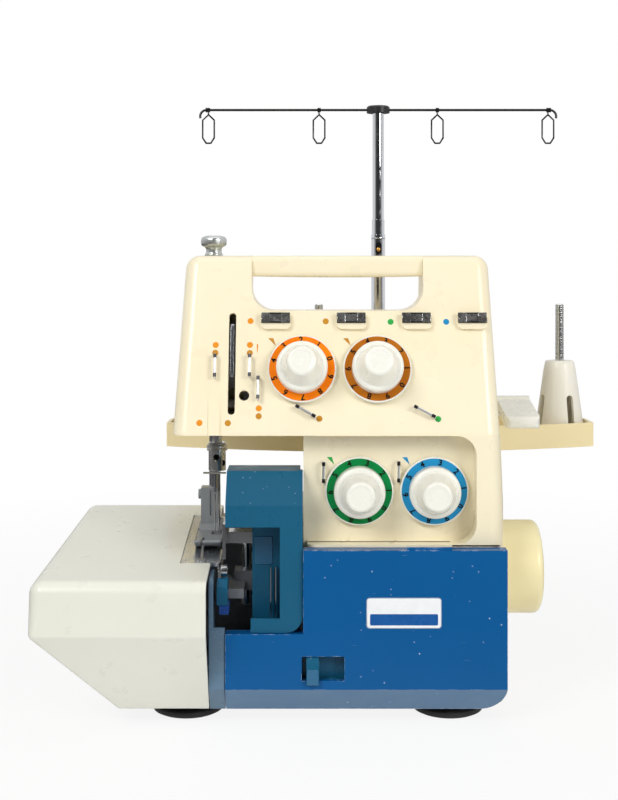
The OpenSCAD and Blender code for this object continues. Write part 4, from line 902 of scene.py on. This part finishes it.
@dataclass
class TensionDial(Assembly):
    """One tension dial with its number band."""

    kind: Tension
    dial_gap: float = 0.8
    flange_mm: float = 3.2
    digit_r: float = 17.6
    digit_mm: float = 4.8
    digit_step: float = 36.0
    digit_bold: float = 0.14
    digit_thick: float = 0.12

    def build(self) -> None:
        """Dresses the dial and adds its digits."""
        name, ink, _, _ = self.kind.value
        self.dress("knob_moulding", 0.12, f"dial_{name}")
        self.dress(ink, 0.06, f"band_{name}")
        self.digits()

    def digits(self) -> None:
        """Adds the digits 0 to 9, feet to the middle."""
        name, _, zero_turn, seat = self.kind.value
        top = self.dial_gap + self.flange_mm + 0.25
        lift = Matrix.Translation((0, self.digit_r * MM, (top + 0.04) * MM))
        piece = Piece(f"numerals_{name}")
        for digit in range(10):
            text = bpy.data.curves.new(f"digit_{name}_{digit}", "FONT")
            text.body = str(digit)
            text.size = self.digit_mm * MM
            text.align_x = "CENTER"
            text.align_y = "CENTER"
            text.extrude = self.digit_thick * MM
            text.offset = self.digit_bold * MM
            text.resolution_u = 4
            holder = bpy.data.objects.new(text.name, text)
            bpy.context.scene.collection.objects.link(holder)
            bpy.context.view_layer.update()
            data = bpy.data.meshes.new_from_object(holder)
            bpy.data.objects.remove(holder)
            turned = Matrix.Rotation(math.radians(self.digit_step * digit - zero_turn), 4, "Z")
            data.transform(seat.matrix() @ turned @ lift)
            piece.mesh.from_mesh(data)
            bpy.data.meshes.remove(data)
        piece.finish(f"{name}_dial", self.finishes["black_ink"], "white_knob", 30)


@dataclass
class LooperCover(Assembly):
    """The blue cover with its bare badge plate and the stitch-length tab."""

    badge_mm: Size = (43.6, 17.4)
    badge_x: float = 59.4
    badge_z: float = 69.0
    badge_rim: float = 0.4
    band_mm: Size = (40.0, 6.6)
    band_drop: float = 3.8
    tab_mm: Size = (7.0, 9.0)

    def build(self) -> None:
        """Dresses the cover and its tab, and adds the badge."""
        self.dress("blue_paint", 0.9, "looper_cover")
        self.dress("teal_moulding", 0.3, "tab_tray", "stitch_tab")
        self.dress("shaft_steel", 0.2, "hinge_pins")
        nose = Piece("tab_face")
        nose.prism(rounded_box(*self.tab_mm, 1.0), front_seat(5.65, -2.8, 31.8), -0.3, 0.3, 0.25)
        nose.finish("tab", self.finishes["slate_moulding"], "teal_paint")
        self.badge()

    def badge(self) -> None:
        """Adds the bare badge plate with its grey rim and blue band."""
        seat = front_seat(self.badge_x, 0, self.badge_z)
        edge = Piece("badge_edge")
        width, height = (side + 2 * self.badge_rim for side in self.badge_mm)
        edge.prism(rounded_box(width, height, 2.0), seat, -0.3, 0.3)
        edge.finish("front_cover", self.finishes["badge_grey"], "blue_paint")
        plate = Piece("badge_plate")
        plate.prism(rounded_box(*self.badge_mm, 1.6), seat, -0.3, 0.55, 0.3)
        plate.finish("front_cover", self.finishes["badge_white"], "blue_paint")
        band = Piece("badge_band")
        band.prism(rounded_box(*self.band_mm, 0.8), seat.moved(0, -self.band_drop), 0.3, 0.66)
        band.finish("front_cover", self.finishes["badge_blue"], "blue_paint")


@dataclass
class Guards(Assembly):
    """The teal needle cover, the side plate and the knife holder."""

    rod_mm: float = 1.6
    rod_places: Places = ((-19.6, 22.6), (-16.6, 23.4))
    rod_span: Size = (61.0, 91.0)
    pad_mm: Size = (11.0, 17.0)

    def build(self) -> None:
        """Dresses the guards and adds a painted sheen and painted highlights in the needle cover's pocket."""
        self.dress("teal_moulding", 0.7, "needle_cover", "knife_holder")
        # The side plate's lighter finish is painted light on its slanted face.
        self.dress("side_plate_lit_moulding", 0.7, "side_plate")
        self.dress("knob_blue_moulding", 0.2, "knife_knob")
        # Painted sheen: the lighter pad stands for light caught by the pocket's upper back facet.
        pad = Piece("pocket_sheen_pad")
        pad.prism(rounded_box(*self.pad_mm, 1.2), front_seat(-24.2, 26.0, 100.5), -0.3, 0.7, 0.3)
        pad.finish("machine", self.finishes["slate_moulding"], "teal_paint")
        # Painted highlights: the chrome rods stand for the bright streaks on the pocket's curved wall.
        rods = Piece("pocket_highlight_rods")
        for x, y in self.rod_places:
            rods.wire([spot(x, y, z) for z in self.rod_span], self.rod_mm / 2)
        rods.finish("machine", self.finishes["chrome"], "bright_steel")


@dataclass
class Bed(Assembly):
    """The cloth plate, the needle plate and the feed dog."""

    def build(self) -> None:
        """Dresses the bed."""
        self.dress("pale_moulding", 0.4, "cloth_plate")
        self.dress("plate_steel", 0.15, "needle_plate")
        self.dress("polished_steel", 0.0, "feed_dog")


@dataclass
class SewingHead(Assembly):
    """The needle bar, the presser and what stands beside them."""

    needle_x: float = -55.5
    needle_y: float = 70.0
    clamp_z: float = 155.6
    clamp_mm: float = 11.0
    clamp_screws: Places = ((-55.6, 151.6), (-51.9, 147.6))
    clip_x: tuple[float, ...] = (-16.9, 29.2, 69.0, 103.1)
    clip_z: float = 241.0
    clip_mm: Size = (17.4, 6.3)
    eye_out: float = 3.9
    low_eyes: Places = ((12.3, 154.5), (57.7, 154.8))
    low_eye_mm: float = 11.6
    eyes: tuple[tuple[float, float, float, float], ...] = (
        (-53.4, 218.8, 13.2, 0),
        (-32.4, 218.8, 12.9, 0),
        (-27.2, 205.8, 13.0, 0),
        (-4.0, 188.8, 12.5, 60),
        (66.8, 188.5, 13.2, 62),
    )

    def build(self) -> None:
        """Dresses the sewing head."""
        self.dress("dark_chrome", 0.1, "needle_bar")
        self.dress("polished_steel", 0.1, "needles", "presser_bar", "take_up_lever")
        self.dress("polished_steel", 0.15, "upper_looper", "lower_looper", "upper_knife", "lower_knife")
        self.dress("polished_steel", 0.0, "tension_discs", "tension_springs")
        self.dress("grey_enamel", 0.2, "presser_foot")
        self.dress("satin_alloy", 0.3, "pressure_screw")
        self.dress("knob_moulding", 1.2, "presser_lifter")
        self.dress("dark_steel", 0.1, "pretension_clips")
        self.dress("wire_chrome", 0.0, "wire_guides")
        self.dress("shaft_steel", 0.15, "tension_studs")
        self.clamp_details()
        self.clip_details()
        self.eye_tips()

    def clamp_details(self) -> None:
        """Adds the rings and the screw holes of the needle clamp."""
        rings = Piece("clamp_rings")
        foot = top_seat(self.needle_x, self.needle_y, self.clamp_z)
        for z, half in ((0.0, 5.9), (1.8, 6.2), (3.6, 5.6)):
            side = [(half - 0.4, z), (half, z + 0.4), (half, z + 0.9), (half - 0.4, z + 1.3)]
            rings.lathe([(3.0, z), *side, (3.0, z + 1.3), (3.0, z)], foot, 48)
        rings.finish("needle_drive", self.finishes["chrome"], "bright_steel")
        holes = Piece("clamp_screws")
        socket = [(0, -0.9), (1.1, -0.9), (1.2, 0.1), (1.7, 0.1), (1.9, -0.1), (1.9, -1.4), (0, -1.4)]
        for x, z in self.clamp_screws:
            ahead = math.sqrt((self.clamp_mm / 2) ** 2 - (x - self.needle_x) ** 2)
            holes.lathe(socket, front_seat(x, self.needle_y - ahead, z), 24)
        holes.finish("needle_drive", self.finishes["gap_black"], "bright_steel")

    def clip_details(self) -> None:
        """Adds the dark edge and the bright end of each pretension clip."""
        edges, ends = Piece("clip_edges"), Piece("clip_ends")
        width, height = self.clip_mm
        for x in self.clip_x:
            seat = face_seat(x, self.clip_z)
            for up in (2.8, -2.8):
                edges.prism(rounded_box(width, 0.7, 0.2, 2), seat.moved(0, up), 2.8, 3.86)
            for right in (-8.4, 8.4):
                edges.prism(rounded_box(0.7, height, 0.2, 2), seat.moved(right, 0), 2.8, 3.86)
            ends.prism(rounded_box(1.5, 4.2, 0.5, 3), seat.moved(-7.2, -0.2), 3.4, 3.95, 0.1)
        edges.finish("machine", self.finishes["gap_black"], "dark_steel")
        ends.finish("machine", self.finishes["satin_alloy"], "bright_steel")

    def eye_tips(self) -> None:
        """Adds dark pieces at both ends of each wire guide: a painted dark reflection on the chrome wire ends.
        """
        # Painted reflection: gunmetal sleeves darken the wire ends where the chrome looks dark.
        tips = Piece("eye_tips")
        places = [(face_seat(x, z).turned(turn), length) for x, z, length, turn in self.eyes]
        places += [(front_seat(x, PANEL_Y, z), self.low_eye_mm) for x, z in self.low_eyes]
        for seat, length in places:
            m = seat.matrix()
            for ends in ((0.5, -1.9), (1.9 - length, -0.5 - length)):
                tips.wire([m @ (Vector((0, end, self.eye_out)) * MM) for end in ends], 1.02)
        tips.finish("machine", self.finishes["gunmetal"], "bright_steel")


@dataclass
class Drive(Assembly):
    """The cast frame, shaft, belt, motor, handwheel, feet and mains parts."""

    pin_mm: float = 2.2
    pin_rows: Size = (110.6, 117.4)
    pin_span: Size = (113.2, 119.0)
    pin_z: float = 37.0

    def build(self) -> None:
        """Dresses the drive."""
        self.dress("cast_alloy", 0.5, "cast_frame")
        self.dress("shaft_steel", 0.3, "main_shaft")
        self.dress("bronze", 0.2, "shaft_bearings")
        self.dress("belt_rubber", 0.2, "drive_belt")
        self.dress("motor_enamel", 0.4, "motor")
        self.dress("shaft_steel", 0.2, "motor_pulley")
        # The handwheel's brighter finish is painted light on its shaded front.
        self.dress("handwheel_lit_moulding", 0.4, "handwheel")
        self.dress("black_moulding", 0.3, "power_inlet", "power_switch")
        feet = [f"foot_{row}_{side}" for row in ("front", "rear") for side in ("left", "right")]
        self.dress("foot_rubber", 0.3, *feet)
        pins = Piece("inlet_pins")
        for y in self.pin_rows:
            pins.wire([spot(x, y, self.pin_z) for x in self.pin_span], self.pin_mm / 2, 16)
        pins.finish("machine", self.finishes["brass"], "bright_steel")


@dataclass
class ThreadStand(Assembly):
    """The spool tray, its pins and cone holders, and the telescopic mast."""

    mast_x: float = 54.4
    mast_y: float = 192.0
    mast_mm: float = 10.2
    ring_rows: tuple[float, ...] = (294.4, 279.2, 277.0)
    catch_z: float = 287.0
    wire_z: float = 388.7
    wire_half: float = 126.4
    hook_r: float = 4.6
    cone_z: float = 198.8
    cone_places: Places = ((-131.4, 181.467), (-43.8, 177.0), (43.8, 177.0), (131.4, 181.467))

    def build(self) -> None:
        """Dresses the thread stand."""
        self.dress("butter_moulding", 0.4, "spool_tray")
        self.dress("thread_steel", 0.1, "spool_pins")
        self.dress("cone_moulding", 0.3, "cone_holders")
        self.dress("chrome", 0.1, "mast_lower", "mast_middle", "mast_upper")
        self.dress("black_satin", 0.3, "mast_guide")
        self.dress("loop_chrome", 0.0, "guide_loops")
        self.mast_details()
        self.wire_hooks()
        self.cone_collars()

    def cone_collars(self) -> None:
        """Adds the top collar of each cone holder."""
        collars = Piece("cone_collars")
        profile = [(3.7, -0.6), (11.5, -0.6), (11.45, 0.3), (10.3, 5.6), (9.6, 6.4), (3.7, 6.6), (3.7, -0.6)]
        for across, y in self.cone_places:
            collars.lathe(profile, top_seat(self.mast_x + across, y, self.cone_z), 48)
        collars.finish("machine", self.finishes["cone_moulding"], "cone_plastic")

    def mast_details(self) -> None:
        """Adds the crimped rings and the spring catch of the mast."""
        rings = Piece("mast_rings")
        half = self.mast_mm / 2
        low, mid, high = half - 0.2, half + 0.12, half + 0.22
        crimp = [(low, -0.7), (mid, -0.5), (high, 0), (mid, 0.5), (low, 0.7), (low, -0.7)]
        for z in self.ring_rows:
            rings.lathe(crimp, top_seat(self.mast_x, self.mast_y, z), 48)
        rings.finish("machine", self.finishes["chrome"], "bright_steel")
        seat = front_seat(self.mast_x, self.mast_y - half, self.catch_z)
        slot = Piece("mast_catch_slot")
        slot.prism(rounded_box(4.4, 8.6, 2.1), seat, -0.5, 0.12)
        slot.finish("machine", self.finishes["gap_black"], "bright_steel")
        button = Piece("mast_catch")
        button.lathe([(0, 0.9), (0.9, 0.75), (1.5, 0.3), (1.6, -0.6), (0, -0.6)], seat.moved(0, -1.0), 24)
        button.finish("machine", self.finishes["brass"], "bright_steel")

    def wire_hooks(self) -> None:
        """Adds the bent ends of the cross wire."""
        hooks = Piece("wire_hooks")
        for side in (-1, 1):
            arc = []
            for degrees in range(0, 109, 18):
                a = math.radians(degrees)
                x = self.mast_x + side * (self.wire_half + self.hook_r * math.sin(a))
                arc.append(spot(x, self.mast_y, self.wire_z - self.hook_r * (1 - math.cos(a))))
            hooks.wire(arc, 0.9)
        hooks.finish("mast_top", self.finishes["black_satin"], "black_plastic")


# -------------------- studio


@dataclass
class Studio:
    """A plain pale floor, soft lamps and the camera."""

    camera_at: Point = (-0.0207, -0.8665, 0.271)
    lens: float = 58.7
    shift_y: float = -0.1625
    floor_m: float = 8.0
    floor_glow: float = 0.87
    sky: float = 0.3
    aim_z: float = 0.16

    def build(self) -> None:
        """Sets the floor, the world, the lamps and the camera."""
        self.floor()
        self.world()
        self.lamps()
        self.camera()
        bpy.context.scene.view_settings.view_transform = "Standard"

    def floor(self) -> None:
        """Adds the floor, white to the camera but for the object's shadow."""
        half = self.floor_m / 2
        data = bpy.data.meshes.new("studio_floor")
        corners = [(x * half, y * half, 0) for x, y in ((-1, -1), (1, -1), (1, 1), (-1, 1))]
        data.from_pydata(corners, [], [(0, 1, 2, 3)])
        thing = bpy.data.objects.new("studio_floor", data)
        bpy.context.scene.collection.objects.link(thing)
        data.materials.append(self.floor_finish())

    def floor_finish(self) -> bpy.types.Material:
        """A pale finish that takes the shadow and glows white to the camera and to gloss.

        Returns:
            The material.
        """
        g = Graph("studio_floor")
        paths = g.node("LightPath").outputs
        tone = g.span(g.noise(3, 3, 0.5), 0.3, 0.7, 0.86, 0.9)
        pale = g.node("BsdfPrincipled", Base_Color=tone, Roughness=0.8)
        through = g.step("MAXIMUM", paths["Is Glossy Ray"], paths["Is Transmission Ray"])
        seen = g.step("MAXIMUM", paths["Is Camera Ray"], through)
        reach = g.step("LENGTH", g.place(), kind="VectorMath").outputs["Value"]
        share = g.times(seen, g.span(reach, 0.22, 0.8, self.floor_glow, 1.0))
        # Gloss mirrors a floor that is bright by the object and dim farther off.
        dim = g.span(reach, 0.17, 0.34, 0.9, 0.1)
        lit = g.step("ADD", g.times(paths["Is Camera Ray"], g.step("SUBTRACT", 1.0, dim)), dim)
        return g.end(g.node("MixShader", share, pale, g.node("Emission", (1, 1, 1), lit)))

    def world(self) -> None:
        """Lights softly from all round, and shows white behind the object."""
        g = Graph("studio_world", True)
        paths = g.node("LightPath").outputs
        soft = g.node("Background", (1, 0.99, 0.97), self.sky)
        white = g.node("Background", (1, 1, 1), 1.0)
        # The room ahead of the object is darker than the wall behind it, which metal shows.
        parts = g.node("SeparateXYZ", g.node("TexCoord").outputs["Generated"])
        mirror = g.node("Background", Strength=g.span(parts.outputs["Y"], -0.75, -0.1, 0.05, 1.0))
        shiny = g.node("MixShader", paths["Is Glossy Ray"], soft, mirror)
        seen = g.step("MAXIMUM", paths["Is Camera Ray"], paths["Is Transmission Ray"])
        bpy.context.scene.world = g.end(g.node("MixShader", seen, shiny, white))

    def lamps(self) -> None:
        """Adds three soft area lamps."""
        for name, at, size, watts in (
            ("lamp_left", (-0.95, -1.4, 1.35), 0.7, 17.0),
            ("lamp_right", (1.15, -1.35, 0.85), 0.7, 12.6),
            ("lamp_top", (0.0, 0.1, 1.9), 1.6, 5.0),
        ):
            light = bpy.data.lights.new(name, "AREA")
            light.shape, light.size, light.energy = "SQUARE", size, watts
            lamp = bpy.data.objects.new(name, light)
            bpy.context.scene.collection.objects.link(lamp)
            lamp.location = at
            aim = Vector((0, 0, self.aim_z)) - Vector(at)
            lamp.rotation_euler = aim.to_track_quat("-Z", "Y").to_euler()

    def camera(self) -> None:
        """Adds the level camera, shifted down to the machine."""
        data = bpy.data.cameras.new("studio_camera")
        data.lens = self.lens
        data.sensor_width = 36
        data.shift_y = self.shift_y
        data.clip_end = 50
        camera = bpy.data.objects.new("studio_camera", data)
        bpy.context.scene.collection.objects.link(camera)
        camera.location = self.camera_at
        camera.rotation_euler = (math.radians(90), 0, 0)
        bpy.context.scene.camera = camera


def main() -> None:
    """Builds the sub-assemblies in order and reports each."""
    logging.basicConfig(level=logging.INFO, format="%(name)s: %(message)s")
    finishes = Finishes()
    for assembly in (
        Housing(finishes),
        *(TensionDial(finishes, kind) for kind in Tension),
        LooperCover(finishes),
        Guards(finishes),
        Bed(finishes),
        SewingHead(finishes),
        Drive(finishes),
        ThreadStand(finishes),
        Studio(),
    ):
        assembly.build()
        LOG.info("built %s", type(assembly).__name__)


if __name__ == "__main__":
    main()
